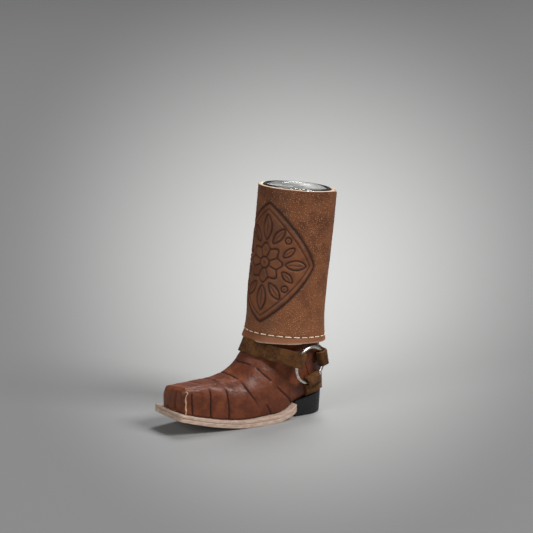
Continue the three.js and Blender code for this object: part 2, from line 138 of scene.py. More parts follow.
def ridge(distance: Array, width: float) -> Array:
    """Bell-shaped line profile that is 1 on the line and fades over its width."""
    return np.exp(-((distance / width) ** 2))


def rough(points: Array, size: float, octaves: int = 3) -> Array:
    """Reads fractal noise at each point.

    Args:
        points: Points in millimetres.
        size: Size of the largest lumps in millimetres.
        octaves: Number of finer layers.

    Returns:
        One value for each point, about -1 to 1.
    """
    places = np.asarray(points, float).reshape(-1, 3) / size
    return np.array([noise.fractal(Vector(place), 1.0, 2.0, octaves) for place in places])


def key_value(keys: Keys, station: float) -> float:
    """Reads a smooth curve through keys.

    Args:
        keys: Pairs of station and value, in rising order.
        station: Where to read.

    Returns:
        The value there, held at the ends.
    """
    passed = sum(1 for key in keys if key[0] <= station)
    place = min(max(passed - 1, 0), len(keys) - 2)
    x0, y0 = keys[max(place - 1, 0)]
    x1, y1 = keys[place]
    x2, y2 = keys[place + 1]
    x3, y3 = keys[min(place + 2, len(keys) - 1)]
    share = min(max((station - x1) / (x2 - x1), 0.0), 1.0)
    slope_in = (y2 - y0) / (x2 - x0) * (x2 - x1)
    slope_out = (y3 - y1) / (x3 - x1) * (x2 - x1)
    square = share * share
    cube = square * share
    return (
        (2 * cube - 3 * square + 1) * y1
        + (cube - 2 * square + share) * slope_in
        + (3 * square - 2 * cube) * y2
        + (cube - square) * slope_out
    )


def bezier(handles: Array, share: Array) -> Array:
    """Reads a cubic curve.

    Args:
        handles: Its four handles.
        share: Shares of its run, one to a row.

    Returns:
        The points.
    """
    first, second, third, last = handles
    rest = 1 - share
    return rest**3 * first + 3 * rest**2 * share * second + 3 * rest * share**2 * third + share**3 * last


def arc_points(
    middle: tuple[float, float], radius: float, turns: Sequence[float]
) -> list[tuple[float, float]]:
    """Lists points on an arc.

    Args:
        middle: Centre of the arc.
        radius: Its radius.
        turns: Angles in degrees.

    Returns:
        The points.
    """
    angles = [math.radians(turn) for turn in turns]
    return [(middle[0] + radius * math.cos(angle), middle[1] + radius * math.sin(angle)) for angle in angles]


def run_along(points: Array) -> Array:
    """Gives each point's distance along the line that joins them."""
    steps = np.linalg.norm(np.diff(points, axis=0), axis=1)
    return np.concatenate([[0], np.cumsum(steps)])


def spaced(stops: Sequence[float], counts: Sequence[int]) -> Array:
    """Joins evenly spaced runs.

    Args:
        stops: Start of each run, and the end of the last.
        counts: Points in each run, both ends included.

    Returns:
        The places, each once.
    """
    runs = [np.linspace(low, high, count)[:-1] for low, high, count in zip(stops, stops[1:], counts)]
    return np.concatenate([*runs, stops[-1:]])


def round_row(radius: Array | float, angles: Array, height: Array | float) -> Array:
    """Sets points round the z axis, with angle 0 towards -y."""
    heights = np.broadcast_to(height, angles.shape)
    return np.column_stack([radius * np.sin(angles), -radius * np.cos(angles), heights])


def round_over(radius: float, distance: float) -> float:
    """Gives how far a rounded edge has fallen away at a distance from its end."""
    into = max(radius - distance, 0)
    return radius - math.sqrt(max(radius**2 - into**2, 0))


# Meshes


def grid_faces(rows: int, columns: int, close_rows: bool, close_columns: bool) -> list[tuple[int, ...]]:
    """Lists the quads of a grid whose points run row by row.

    Args:
        rows: Number of rows.
        columns: Points in a row.
        close_rows: Join the last row to the first.
        close_columns: Join the last point of each row to the first.

    Returns:
        The quads as point numbers.
    """
    faces = []
    for row in range(rows if close_rows else rows - 1):
        low = row * columns
        high = ((row + 1) % rows) * columns
        for side in range(columns if close_columns else columns - 1):
            after = (side + 1) % columns
            faces.append((low + side, low + after, high + after, high + side))
    return faces


def capped_faces(rows: int, columns: int) -> list[tuple[int, ...]]:
    """Lists the faces of a stack of closed rows with a cap at each end.

    Args:
        rows: Number of rows.
        columns: Points in a row.

    Returns:
        The faces as point numbers.
    """
    faces = grid_faces(rows, columns, False, True)
    faces.append(tuple(range(columns)))
    faces.append(tuple(range((rows - 1) * columns, rows * columns)))
    return faces


def add_object(name: str, data: bpy.types.ID) -> bpy.types.Object:
    """Makes an object of some data and links it to the scene.

    Args:
        name: Name of the object.
        data: Its mesh, camera or light.

    Returns:
        The new object at the origin.
    """
    added = bpy.data.objects.new(name, data)
    bpy.context.scene.collection.objects.link(added)
    return added


def make_piece(
    name: str,
    points: Array,
    faces: Sequence[Sequence[int]],
    material: bpy.types.Material,
    marks: dict[str, Array] | None = None,
) -> bpy.types.Object:
    """Makes a smooth mesh object whose normals point outwards.

    Args:
        name: Name of the piece.
        points: Points in millimetres, one to a row.
        faces: Faces as point numbers.
        material: Material of all faces.
        marks: Values kept on the points, by name.

    Returns:
        The new object at the origin.
    """
    mesh = bpy.data.meshes.new(name)
    mesh.from_pydata((np.asarray(points, float).reshape(-1, 3) * MM).tolist(), [], faces)
    for mark, values in (marks or {}).items():
        layer = mesh.attributes.new(mark, "FLOAT", "POINT")
        layer.data.foreach_set("value", np.asarray(values, np.float32).ravel())
    piece = add_object(name, mesh)
    close_up(piece)
    piece.data.materials.append(material)
    return piece


def close_up(piece: bpy.types.Object) -> None:
    """Merges doubled points of a piece, turns its faces outwards and shades it smooth.

    Args:
        piece: The piece to close.
    """
    shape = bmesh.new()
    shape.from_mesh(piece.data)
    bmesh.ops.remove_doubles(shape, verts=shape.verts, dist=1e-6)
    bmesh.ops.dissolve_degenerate(shape, edges=shape.edges, dist=1e-7)
    bmesh.ops.recalc_face_normals(shape, faces=shape.faces)
    for face in shape.faces:
        face.smooth = True
    shape.to_mesh(piece.data)
    shape.free()


def freeze(piece: bpy.types.Object) -> None:
    """Turns a piece with modifiers into the plain mesh that they make.

    Args:
        piece: The piece to turn.
    """
    bpy.context.view_layer.update()
    evaluated = piece.evaluated_get(bpy.context.evaluated_depsgraph_get())
    mesh = bpy.data.meshes.new_from_object(evaluated)
    piece.modifiers.clear()
    piece.data = mesh


def grow(piece: bpy.types.Object, tree: bpy.types.NodeTree, values: dict[str, object]) -> None:
    """Runs a geometry nodes tree on a piece and keeps the plain mesh that it makes.

    Args:
        piece: The piece to start from.
        tree: The tree.
        values: Values of the tree's inputs, by name.
    """
    modifier = piece.modifiers.new(tree.name, "NODES")
    modifier.node_group = tree
    for item in tree.interface.items_tree:
        if item.in_out == "INPUT" and item.name in values:
            modifier[item.identifier] = values[item.name]
    freeze(piece)


def sharpen(piece: bpy.types.Object, degrees: float) -> None:
    """Keeps edges sharper than an angle crisp in the shading.

    Args:
        piece: The piece to mark.
        degrees: Angle between two faces above which their edge is sharp.
    """
    shape = bmesh.new()
    shape.from_mesh(piece.data)
    for edge in shape.edges:
        edge.smooth = len(edge.link_faces) != 2 or edge.calc_face_angle() < math.radians(degrees)
    shape.to_mesh(piece.data)
    shape.free()


def settle(piece: bpy.types.Object, body: Body, slot: Slot, *nodes: str) -> None:
    """Puts a piece on its body and hides the solids that it replaces.

    Args:
        piece: The finished piece.
        body: The body that it rides on.
        slot: The record's slot for the piece; not used.
        nodes: Solids that it replaces.
    """
    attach(piece, body.value)
    if nodes:
        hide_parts(*nodes)
    log.info("%s: %d faces on %s", piece.name, len(piece.data.polygons), body.value)


# Shader graphs


class Graph:
    """Adds and joins the nodes of one node tree."""

    def __init__(self, tree: bpy.types.NodeTree) -> None:
        """Starts on a tree, which is emptied."""
        self.tree = tree
        tree.nodes.clear()

    def add(self, kind: str, inputs: dict | None = None, **settings: object) -> bpy.types.Node:
        """Adds a node.

        Args:
            kind: Blender's name of the node type.
            inputs: Values or sockets for its inputs, by name or number.
            settings: Other properties of the node.

        Returns:
            The new node.
        """
        node = self.tree.nodes.new(kind)
        for key, value in settings.items():
            setattr(node, key, value)
        for key, value in (inputs or {}).items():
            self.feed(node.inputs[key], value)
        return node

    def feed(self, socket: bpy.types.NodeSocket, value: object) -> None:
        """Gives an input a value, or joins it to another node's output.

        Args:
            socket: The input.
            value: A value or another node's output.
        """
        if isinstance(value, bpy.types.NodeSocket):
            self.tree.links.new(value, socket)
        else:
            socket.default_value = value

    def mark(self, name: str) -> bpy.types.NodeSocket:
        """Reads a value that is kept on the mesh's points."""
        return self.add("ShaderNodeAttribute", attribute_name=name).outputs["Fac"]

    def sums(self, operation: str, first: object, second: object, clamp: bool = True) -> bpy.types.NodeSocket:
        """Computes with two values.

        Args:
            operation: Blender's name of the operation.
            first: First value or socket.
            second: Second value or socket.
            clamp: Keep the result within 0 and 1.

        Returns:
            The result's socket.
        """
        node = self.add("ShaderNodeMath", {0: first, 1: second}, operation=operation, use_clamp=clamp)
        return node.outputs[0]

    def mix(self, share: object, first: object, second: object) -> bpy.types.NodeSocket:
        """Mixes two colours.

        Args:
            share: Share of the second colour.
            first: First colour or socket.
            second: Second colour or socket.

        Returns:
            The mixed colour's socket.
        """
        return self.add("ShaderNodeMix", {0: share, 6: first, 7: second}, data_type="RGBA").outputs[2]

    def between(
        self, value: object, low: float, high: float, out_low: float, out_high: float
    ) -> bpy.types.NodeSocket:
        """Maps a value from one range to another.

        Args:
            value: Value or socket.
            low: Start of its range.
            high: End of its range.
            out_low: Result at low.
            out_high: Result at high.

        Returns:
            The mapped value's socket.
        """
        inputs = {0: value, 1: low, 2: high, 3: out_low, 4: out_high}
        return self.add("ShaderNodeMapRange", inputs, interpolation_type="SMOOTHSTEP").outputs[0]

    def speckle(
        self, place: object, scale: object, detail: float, rough_share: float
    ) -> bpy.types.NodeSocket:
        """Reads noise at a place.

        Args:
            place: Coordinates.
            scale: Lumps to a metre.
            detail: Number of finer layers.
            rough_share: Strength of each finer layer.

        Returns:
            The noise's socket, about 0.3 to 0.7.
        """
        inputs = {"Vector": place, "Scale": scale, "Detail": detail, "Roughness": rough_share}
        return self.add("ShaderNodeTexNoise", inputs).outputs["Fac"]

    def stretch(self, place: object, scale: Sequence[float]) -> bpy.types.NodeSocket:
        """Scales coordinates along each axis."""
        return self.add("ShaderNodeMapping", {"Vector": place, "Scale": scale}).outputs[0]

    def relief(self, height: object, depth: float, normal: object = None) -> bpy.types.NodeSocket:
        """Turns a height into a bumped normal.

        Args:
            height: Height from 0 to 1.
            depth: Depth of the relief in metres.
            normal: Normal to start from.

        Returns:
            The normal's socket.
        """
        inputs = {"Height": height, "Distance": depth, "Strength": 1.0}
        if normal is not None:
            inputs["Normal"] = normal
        return self.add("ShaderNodeBump", inputs).outputs[0]

    def group(self, tree: bpy.types.NodeTree, inputs: dict) -> bpy.types.NodeOutputs:
        """Places a node group with its own values and gives its outputs."""
        return self.add("ShaderNodeGroup", inputs, node_tree=tree).outputs


def open_tree(
    name: str, kind: str, inputs: dict[str, Socket], outputs: dict[str, Socket]
) -> tuple[Graph, bpy.types.NodeOutputs, bpy.types.NodeInputs]:
    """Starts a node group.

    Args:
        name: Name of the group.
        kind: Blender's name of the tree type.
        inputs: Socket types by name.
        outputs: Socket types by name.

    Returns:
        Its graph, the sockets that its inputs give and the sockets that its outputs take.
    """
    tree = bpy.data.node_groups.new(name, kind)
    for way, sockets in (("INPUT", inputs), ("OUTPUT", outputs)):
        for title, socket in sockets.items():
            tree.interface.new_socket(name=title, in_out=way, socket_type=socket.value)
    graph = Graph(tree)
    return graph, graph.add("NodeGroupInput").outputs, graph.add("NodeGroupOutput").inputs


class Effects:
    """Node groups that several finishes share."""

    def __init__(self) -> None:
        """Builds each group once."""
        self.mottle = self._mottle()
        self.pebble = self._pebble()
        self.fibre = self._fibre()

    @staticmethod
    def _mottle() -> bpy.types.NodeTree:
        """Blotches between two colours, as dye takes unevenly.

        Returns:
            The node group.
        """
        graph, given, taken = open_tree(
            "Mottled dye", "ShaderNodeTree",
            {"Vector": Socket.VECTOR, "Scale": Socket.FLOAT, "Dark": Socket.COLOUR, "Light": Socket.COLOUR},
            {"Colour": Socket.COLOUR, "Share": Socket.FLOAT},
        )
        broad = graph.speckle(given["Vector"], given["Scale"], 6.0, 0.65)
        share = graph.between(broad, 0.36, 0.64, 0.0, 1.0)
        graph.feed(taken["Colour"], graph.mix(share, given["Dark"], given["Light"]))
        graph.feed(taken["Share"], share)
        return graph.tree

    @staticmethod
    def _pebble() -> bpy.types.NodeTree:
        """Rounded pebbles that are bent a little out of shape, and the dots on their tops.

        Returns:
            The node group.
        """
        graph, given, taken = open_tree(
            "Pebbled grain", "ShaderNodeTree",
            {"Vector": Socket.VECTOR, "Scale": Socket.FLOAT},
            {"Height": Socket.FLOAT, "Dots": Socket.FLOAT},
        )
        place, scale = given["Vector"], given["Scale"]
        bend = (0.0005, 0.0005, 0.0005)
        warp = graph.add("ShaderNodeTexNoise", {"Vector": place, "Scale": scale, "Detail": 2.0})
        shift = graph.add("ShaderNodeVectorMath", {0: warp.outputs["Color"], 1: bend}, operation="MULTIPLY")
        bent = graph.add("ShaderNodeVectorMath", {0: place, 1: shift.outputs[0]}, operation="ADD")
        inputs = {"Vector": bent.outputs[0], "Scale": scale, "Randomness": 0.9}
        away = graph.add("ShaderNodeTexVoronoi", inputs, feature="F1").outputs["Distance"]
        graph.feed(taken["Height"], graph.between(away, 0.1, 0.62, 1.0, 0.0))
        graph.feed(taken["Dots"], graph.between(away, 0.1, 0.34, 1.0, 0.0))
        return graph.tree

    @staticmethod
    def _fibre() -> bpy.types.NodeTree:
        """Short brushed fibres.

        Returns:
            The node group.
        """
        graph, given, taken = open_tree(
            "Brushed fibres", "ShaderNodeTree",
            {"Vector": Socket.VECTOR, "Scale": Socket.FLOAT},
            {"Height": Socket.FLOAT, "Share": Socket.FLOAT},
        )
        fine = graph.speckle(given["Vector"], given["Scale"], 5.0, 0.75)
        coarse_scale = graph.sums("MULTIPLY", given["Scale"], 0.2, clamp=False)
        coarse = graph.speckle(given["Vector"], coarse_scale, 3.0, 0.6)
        both = graph.sums("MULTIPLY", fine, coarse, clamp=False)
        graph.feed(taken["Height"], graph.between(both, 0.14, 0.38, 0.0, 1.0))
        graph.feed(taken["Share"], graph.between(fine, 0.35, 0.65, 0.0, 1.0))
        return graph.tree


class Canvas(Graph):
    """The nodes of one material, with its shader, object coordinates and the shared effects at hand."""

    def __init__(self, tree: bpy.types.NodeTree, effects: Effects) -> None:
        """Starts on a material's tree, which is emptied, with a shader.

        Args:
            tree: The material's tree.
            effects: Shared node groups.
        """
        super().__init__(tree)
        shader = self.add("ShaderNodeBsdfPrincipled")
        self.add("ShaderNodeOutputMaterial", {"Surface": shader.outputs[0]})
        self.shader = shader.inputs
        self.place = self.add("ShaderNodeTexCoord").outputs["Object"]
        self.effects = effects

    def pebbles(self, place: object, scale: float) -> bpy.types.NodeOutputs:
        """Places the pebbled grain and gives its outputs."""
        return self.group(self.effects.pebble, {"Vector": place, "Scale": scale})

    def fibres(self, place: object, scale: float) -> bpy.types.NodeOutputs:
        """Places the brushed fibres and gives their outputs."""
        return self.group(self.effects.fibre, {"Vector": place, "Scale": scale})


# Finishes


@dataclass(frozen=True)
class Finish:
    """A surface finish, dyed in blotches between two colours, that builds its own material.

    Numbers of blotches, pores and the like are lumps to a metre, and depths are metres.
    """

    name: str
    dark: Colour
    light: Colour
    blotches: float

    def build(self, effects: Effects) -> bpy.types.Material:
        """Builds the material.

        Args:
            effects: Shared node groups.

        Returns:
            The new material.
        """
        material = bpy.data.materials.new(self.name)
        material.use_nodes = True
        canvas = Canvas(material.node_tree, effects)
        for socket, value in self.paint(canvas).items():
            canvas.feed(canvas.shader[socket], value)
        return material

    def dye(self, canvas: Canvas, place: object) -> bpy.types.NodeOutputs:
        """Places the blotches.

        Args:
            canvas: The material's nodes.
            place: Coordinates.

        Returns:
            The outputs Colour, and Share of the light colour.
        """
        return canvas.group(canvas.effects.mottle, {
            "Vector": place, "Scale": self.blotches, "Dark": self.dark, "Light": self.light,
        })

    def paint(self, canvas: Canvas) -> dict[str, object]:
        """Makes the finish's own nodes.

        Args:
            canvas: The material's nodes.

        Returns:
            Values and sockets for the shader's inputs, by name.
        """
        raise NotImplementedError


@dataclass(frozen=True)
class EmbossedUpper(Finish):
    """Glossy brown leather pressed into tiles, with painted shade in the creases, and pale where it is rubbed
    through.
    """

    dark: Colour = srgb(80, 40, 25)
    light: Colour = srgb(109, 58, 35)
    blotches: float = 170.0
    # Painted shade: the dark colour laid into the creases, along the sole joint and down the toe's front
    # fold.
    crease: Colour = srgb(38, 13, 10)
    rubbed: Colour = srgb(214, 176, 138)
    scuffs: float = 2600.0
    wrinkles: float = 420.0
    wrinkle_depth: float = 0.00035
    pores: float = 1500.0
    pore_depth: float = 0.00003

    def paint(self, canvas: Canvas) -> dict[str, object]:
        """Joins dye, painted shade in the creases, rubbed edges and pores.

        Args:
            canvas: The material's nodes.

        Returns:
            Values and sockets for the shader's inputs.
        """
        dye = self.dye(canvas, canvas.place)
        tile = canvas.between(canvas.mark("tile"), 0.0, 1.0, 0.0, 0.55)
        toned = canvas.mix(tile, dye["Colour"], self.dark)
        # Painted shade: the crease mark darkens the colour in the creases.
        creased = canvas.mix(canvas.mark("crease"), toned, self.crease)
        scuff = canvas.between(canvas.speckle(canvas.place, self.scuffs, 3.0, 0.7), 0.36, 0.52, 0.25, 1.0)
        torn = canvas.sums("MULTIPLY", canvas.mark("rubbed"), scuff)
        shine = canvas.between(dye["Share"], 0.0, 1.0, 0.36, 0.5)
        dull = canvas.sums("MULTIPLY", canvas.mark("crease"), 0.3)
        wrinkled = canvas.relief(canvas.speckle(canvas.place, self.wrinkles, 5.0, 0.6), self.wrinkle_depth)
        grain = canvas.pebbles(canvas.place, self.pores)
        return {
            "Base Color": canvas.mix(torn, creased, self.rubbed),
            "Roughness": canvas.sums("ADD", shine, dull),
            "Normal": canvas.relief(grain["Height"], self.pore_depth, wrinkled),
            "Specular IOR Level": 0.2,
            "Coat Weight": 0.06,
            "Coat Roughness": 0.2,
        }


@dataclass(frozen=True)
class TooledShaft(Finish):
    """Brown leather, pebbled outside the tooled frame, with painted shade in the cut lines, pale at raw
    edges, and a near-white lining that is painted light.
    """

    dark: Colour = srgb(80, 42, 20)
    light: Colour = srgb(108, 63, 34)
    blotches: float = 150.0
    # Painted shade: the dark colour laid into the cut lines and the stitch seam.
    line: Colour = srgb(38, 15, 6)
    dot: Colour = srgb(176, 126, 86)
    raw: Colour = srgb(208, 186, 164)
    # Painted light: the lining is near-white so that the inside seen through the glass looks lit.
    lit_lining: Colour = srgb(226, 225, 222)
    worn: Colour = srgb(129, 79, 47)
    grains: float = 1300.0
    grain_depth: float = 0.00013
    patches: float = 420.0
    flesh: float = 2200.0
    lumps: float = 900.0
    lump_depth: float = 0.00016

    def paint(self, canvas: Canvas) -> dict[str, object]:
        """Joins dye, pebbles, painted shade in the cut lines, raw edges and the lining, which is painted
        light.

        Args:
            canvas: The material's nodes.

        Returns:
            Values and sockets for the shader's inputs.
        """
        dye = self.dye(canvas, canvas.place)
        grain = canvas.pebbles(canvas.place, self.grains)
        patch = canvas.between(canvas.speckle(canvas.place, self.patches, 3.0, 0.6), 0.36, 0.58, 0.4, 1.0)
        dots = canvas.sums("MULTIPLY", grain["Dots"], canvas.mark("field"))
        hem = canvas.mix(canvas.mark("worn"), dye["Colour"], self.worn)
        pebbled = canvas.mix(canvas.sums("MULTIPLY", dots, patch), hem, self.dot)
        # Painted shade in the cut lines and along the stitch seam.
        line_shaded = canvas.mix(canvas.mark("line"), pebbled, self.line)
        flesh = canvas.between(canvas.speckle(canvas.place, self.flesh, 3.0, 0.7), 0.3, 0.7, 0.0, 0.4)
        trimmed = canvas.mix(canvas.mark("raw"), line_shaded, canvas.mix(flesh, self.raw, self.worn))
        height = canvas.sums("MULTIPLY", grain["Height"], canvas.mark("field"))
        lumpy = canvas.relief(canvas.speckle(canvas.place, self.lumps, 5.0, 0.65), self.lump_depth)
        # The lining's near-white stands in for light inside the glass: painted light.
        return {
            "Base Color": canvas.mix(canvas.mark("lit_lining"), trimmed, self.lit_lining),
            "Roughness": canvas.between(dye["Share"], 0.0, 1.0, 0.5, 0.66),
            "Normal": canvas.relief(height, self.grain_depth, lumpy),
            "Specular IOR Level": 0.3,
        }


@dataclass(frozen=True)
class BrushedStrap(Finish):
    """Olive-brown suede with a brushed nap and paler tips."""

    dark: Colour = srgb(52, 30, 13)
    light: Colour = srgb(86, 53, 24)
    blotches: float = 260.0
    tip: Colour = srgb(118, 79, 42)
    sheen: Colour = srgb(190, 150, 100)
    hairs: float = 2600.0
    nap_depth: float = 0.00016

    def paint(self, canvas: Canvas) -> dict[str, object]:
        """Joins dye and nap.

        Args:
            canvas: The material's nodes.

        Returns:
            Values and sockets for the shader's inputs.
        """
        dye = self.dye(canvas, canvas.place)
        nap = canvas.fibres(canvas.stretch(canvas.place, (1.0, 1.0, 0.55)), self.hairs)
        tips = canvas.between(nap["Share"], 0.45, 1.0, 0.0, 0.38)
        return {
            "Base Color": canvas.mix(tips, dye["Colour"], self.tip),
            "Roughness": canvas.between(nap["Height"], 0.0, 1.0, 0.95, 0.78),
            "Normal": canvas.relief(nap["Height"], self.nap_depth),
            "Specular IOR Level": 0.2,
            "Sheen Weight": 0.12,
            "Sheen Roughness": 0.5,
            "Sheen Tint": self.sheen,
        }


@dataclass(frozen=True)
class CutSole(Finish):
    """Pale undyed sole leather with a rough cut edge."""

    dark: Colour = srgb(160, 135, 118)
    light: Colour = srgb(180, 157, 141)
    blotches: float = 330.0
    # Darker colour for random stains and for a band along each layer's underside.
    darkening: Colour = srgb(140, 110, 90)
    stains: float = 520.0
    strands: float = 1900.0
    strand_depth: float = 0.0001

    def paint(self, canvas: Canvas) -> dict[str, object]:
        """Joins layers, fibres, random stains and a darker band along each layer's underside.

        Args:
            canvas: The material's nodes.

        Returns:
            Values and sockets for the shader's inputs.
        """
        layers = canvas.stretch(canvas.place, (1.0, 1.0, 1.8))
        dye = self.dye(canvas, layers)
        cut = canvas.fibres(layers, self.strands)
        stain = canvas.between(canvas.speckle(canvas.place, self.stains, 5.0, 0.7), 0.56, 0.74, 0.0, 0.4)
        # Random stains, plus the darker band along each layer's underside.
        darkened = canvas.sums("ADD", stain, canvas.sums("MULTIPLY", canvas.mark("darkening"), 0.8))
        return {
            "Base Color": canvas.mix(darkened, dye["Colour"], self.darkening),
            "Roughness": canvas.between(cut["Share"], 0.0, 1.0, 0.7, 0.9),
            "Normal": canvas.relief(cut["Height"], self.strand_depth),
        }


@dataclass(frozen=True)
class BlackHeel(Finish):
    """Black pressed heel with fine layers and scuffs."""

    dark: Colour = srgb(9, 9, 10)
    light: Colour = srgb(22, 22, 24)
    blotches: float = 260.0
    scuff: Colour = srgb(64, 62, 63)
    scuffs: float = 900.0
    pits: float = 1100.0
    pit_depth: float = 0.00008

    def paint(self, canvas: Canvas) -> dict[str, object]:
        """Joins layers, pits and scuffs.

        Args:
            canvas: The material's nodes.

        Returns:
            Values and sockets for the shader's inputs.
        """
        layers = canvas.stretch(canvas.place, (1.0, 1.0, 5.0))
        dye = self.dye(canvas, layers)
        pitted = canvas.pebbles(layers, self.pits)
        scuffed = canvas.between(canvas.speckle(canvas.place, self.scuffs, 5.0, 0.75), 0.6, 0.74, 0.0, 0.7)
        return {
            "Base Color": canvas.mix(scuffed, dye["Colour"], self.scuff),
            "Roughness": canvas.between(dye["Share"], 0.0, 1.0, 0.42, 0.6),
            "Normal": canvas.relief(pitted["Height"], self.pit_depth),
            "Specular IOR Level": 0.25,
        }


@dataclass(frozen=True)
class PlatedRing(Finish):
    """Polished nickel plate with fine rubbing marks."""

    dark: Colour = srgb(196, 190, 178)
    light: Colour = srgb(236, 233, 226)
    blotches: float = 420.0
    marks: float = 1800.0
    mark_depth: float = 0.00001

    def paint(self, canvas: Canvas) -> dict[str, object]:
        """Joins tarnish and rubbing marks.

        Args:
            canvas: The material's nodes.

        Returns:
            Values and sockets for the shader's inputs.
        """
        marks = canvas.speckle(canvas.stretch(canvas.place, (1.0, 1.0, 6.0)), self.marks, 4.0, 0.7)
        return {
            "Base Color": self.dye(canvas, canvas.place)["Colour"],
            "Roughness": canvas.between(marks, 0.3, 0.7, 0.14, 0.32),
            "Normal": canvas.relief(marks, self.mark_depth),
            "Metallic": 1.0,
        }


@dataclass(frozen=True)
class ClearGlass(Finish):
    """Clear pressed glass with faint smears."""

    dark: Colour = srgb(246, 248, 247)
    light: Colour = srgb(255, 255, 255)
    blotches: float = 90.0
    smears: float = 160.0

    def paint(self, canvas: Canvas) -> dict[str, object]:
        """Joins a faint tint and smears.

        Args:
            canvas: The material's nodes.

        Returns:
            Values and sockets for the shader's inputs.
        """
        smeared = canvas.speckle(canvas.stretch(canvas.place, (1.0, 1.0, 0.3)), self.smears, 4.0, 0.6)
        return {
            "Base Color": self.dye(canvas, canvas.place)["Colour"],
            "Roughness": canvas.between(smeared, 0.45, 0.75, 0.01, 0.07),
            "IOR": 1.5,
            "Transmission Weight": 1.0,
        }


@dataclass(frozen=True)
class WaxedThread(Finish):
    """Cream waxed thread with its twist."""

    dark: Colour = srgb(192, 170, 140)
    light: Colour = srgb(230, 214, 190)
    blotches: float = 900.0
    strands: float = 3600.0
    strand_depth: float = 0.00012

    def paint(self, canvas: Canvas) -> dict[str, object]:
        """Joins dye and twist.

        Args:
            canvas: The material's nodes.

        Returns:
            Values and sockets for the shader's inputs.
        """
        twist = canvas.fibres(canvas.stretch(canvas.place, (1.0, 1.0, 0.4)), self.strands)
        return {
            "Base Color": self.dye(canvas, canvas.place)["Colour"],
            "Roughness": canvas.between(twist["Share"], 0.0, 1.0, 0.5, 0.75),
            "Normal": canvas.relief(twist["Height"], self.strand_depth),
        }


@dataclass(frozen=True)
class HiddenFilling(Finish):
    """Plain wood or board inside the foot, with long fibres."""

    blotches: float = 380.0
    strands: float = 1500.0
    strand_depth: float = 0.0001

    def paint(self, canvas: Canvas) -> dict[str, object]:
        """Joins colour and fibres along the foot.

        Args:
            canvas: The material's nodes.

        Returns:
            Values and sockets for the shader's inputs.
        """
        along = canvas.stretch(canvas.place, (1.0, 0.12, 1.0))
        fibres = canvas.fibres(along, self.strands)
        return {
            "Base Color": self.dye(canvas, along)["Colour"],
            "Roughness": canvas.between(fibres["Share"], 0.0, 1.0, 0.7, 0.88),
            "Normal": canvas.relief(fibres["Height"], self.strand_depth),
        }


class Palette:
    """All materials of the boot."""

    def __init__(self) -> None:
        """Builds each material once."""
        effects = Effects()
        self.upper = EmbossedUpper("embossed_upper").build(effects)
        self.shaft = TooledShaft("tooled_shaft").build(effects)
        self.strap = BrushedStrap("brushed_strap").build(effects)
        self.sole = CutSole("cut_sole").build(effects)
        self.heel = BlackHeel("black_heel").build(effects)
        self.ring = PlatedRing("plated_ring").build(effects)
        self.glass = ClearGlass("clear_glass").build(effects)
        self.thread = WaxedThread("waxed_thread").build(effects)
        self.last = HiddenFilling("last_wood", srgb(140, 104, 66), srgb(186, 146, 98)).build(effects)
        self.board = HiddenFilling("insole_board", srgb(150, 122, 88), srgb(184, 156, 118)).build(effects)


# Sizes that several pieces share


@dataclass(frozen=True)
class BootSizes:
    """Driving sizes of the boot in millimetres, angles in radians."""

    glue_gap: float = 0.3
    slip_gap: float = 0.35
    shaft_leather: float = 1.6
    upper_leather: float = 1.4
    shaft_length: float = 73.0
    shaft_top: float = 18.6
    shaft_waist: float = 18.3
    shaft_hem: float = 19.6
    shaft_flare: float = 13.0
    shaft_lean: float = math.radians(5.87)
    hem_height: float = 38.0
    hem_forward: float = 6.7
    shaft_overlap: float = 4.0
    lap_angle: float = math.radians(150)
    lap_run: float = math.radians(46)
    lap_rise: float = 0.6
    toe_reach: float = 72.4
    ball_front: float = 34.0
    ball_back: float = 20.0
    toe_spring: float = 7.6
    spring_curve: float = 1.6
    outsole: float = 1.8
    welt: float = 1.5
    breast_reach: float = 8.0
    breast_height: float = 8.0
    seat_rise: float = 3.9
    heel_back: float = 12.6

    @property
    def sole_thickness(self) -> float:
        """Both sole layers and the gap between them."""
        return self.outsole + self.glue_gap + self.welt

    def shaft_radius(self, height: Array | float) -> Array:
        """Outside radius of the shaft at a height above its hem.

        Args:
            height: Heights above the hem.

        Returns:
            The radius at each.
        """
        above = self.shaft_waist + (self.shaft_top - self.shaft_waist) * smoothstep(
            height, self.shaft_flare, self.shaft_length
        )
        opened = np.maximum(1 - np.asarray(height, float) / self.shaft_flare, 0)
        return above + (self.shaft_hem - self.shaft_waist) * opened**2

    def sole_top(self, y: Array | float) -> Array:
        """Height of the surface that the upper stands on, along y.

        Args:
            y: Places along the foot.

        Returns:
            The height at each.
        """
        y = np.asarray(y, float)
        lift = np.clip((-self.ball_front - y) / (self.toe_reach - self.ball_front), 0, None)
        arch = np.clip((y + self.ball_back) / (self.ball_back - self.breast_reach), 0, 1)
        slope = self.seat_rise / (self.breast_reach + self.heel_back)
        height = self.sole_thickness + self.toe_spring * lift**self.spring_curve
        height = height + (self.breast_height - self.sole_thickness) * arch**2
        return height + slope * np.clip(y + self.breast_reach, 0, None)

    def from_shaft(self, points: Array) -> Array:
        """Turns points of the shaft's own frame into the boot's frame.

        Args:
            points: Points with z along the shaft's axis from the hem.

        Returns:
            The same points in the boot's frame.
        """
        points = np.asarray(points, float).reshape(-1, 3)
        sine, cosine = math.sin(self.shaft_lean), math.cos(self.shaft_lean)
        y = points[:, 1] * cosine + points[:, 2] * sine - self.hem_forward
        z = -points[:, 1] * sine + points[:, 2] * cosine + self.hem_height
        return np.column_stack([points[:, 0], y, z])


# Upper


@dataclass(frozen=True)
class Crease:
    """A pressed line across the upper, as distances from the top line with station and strength at each."""

    keys: tuple[tuple[float, float, float], ...]

    def read(self, width: Array) -> tuple[Array, Array]:
        """Gives station and strength of the line.

        Args:
            width: Distances from the top line.

        Returns:
            The line's station and its strength from 0 to 1, at each distance.
        """
        places, stations, strengths = (np.array(column) for column in zip(*self.keys))
        return np.interp(width, places, stations), np.interp(width, places, strengths, left=0.0)


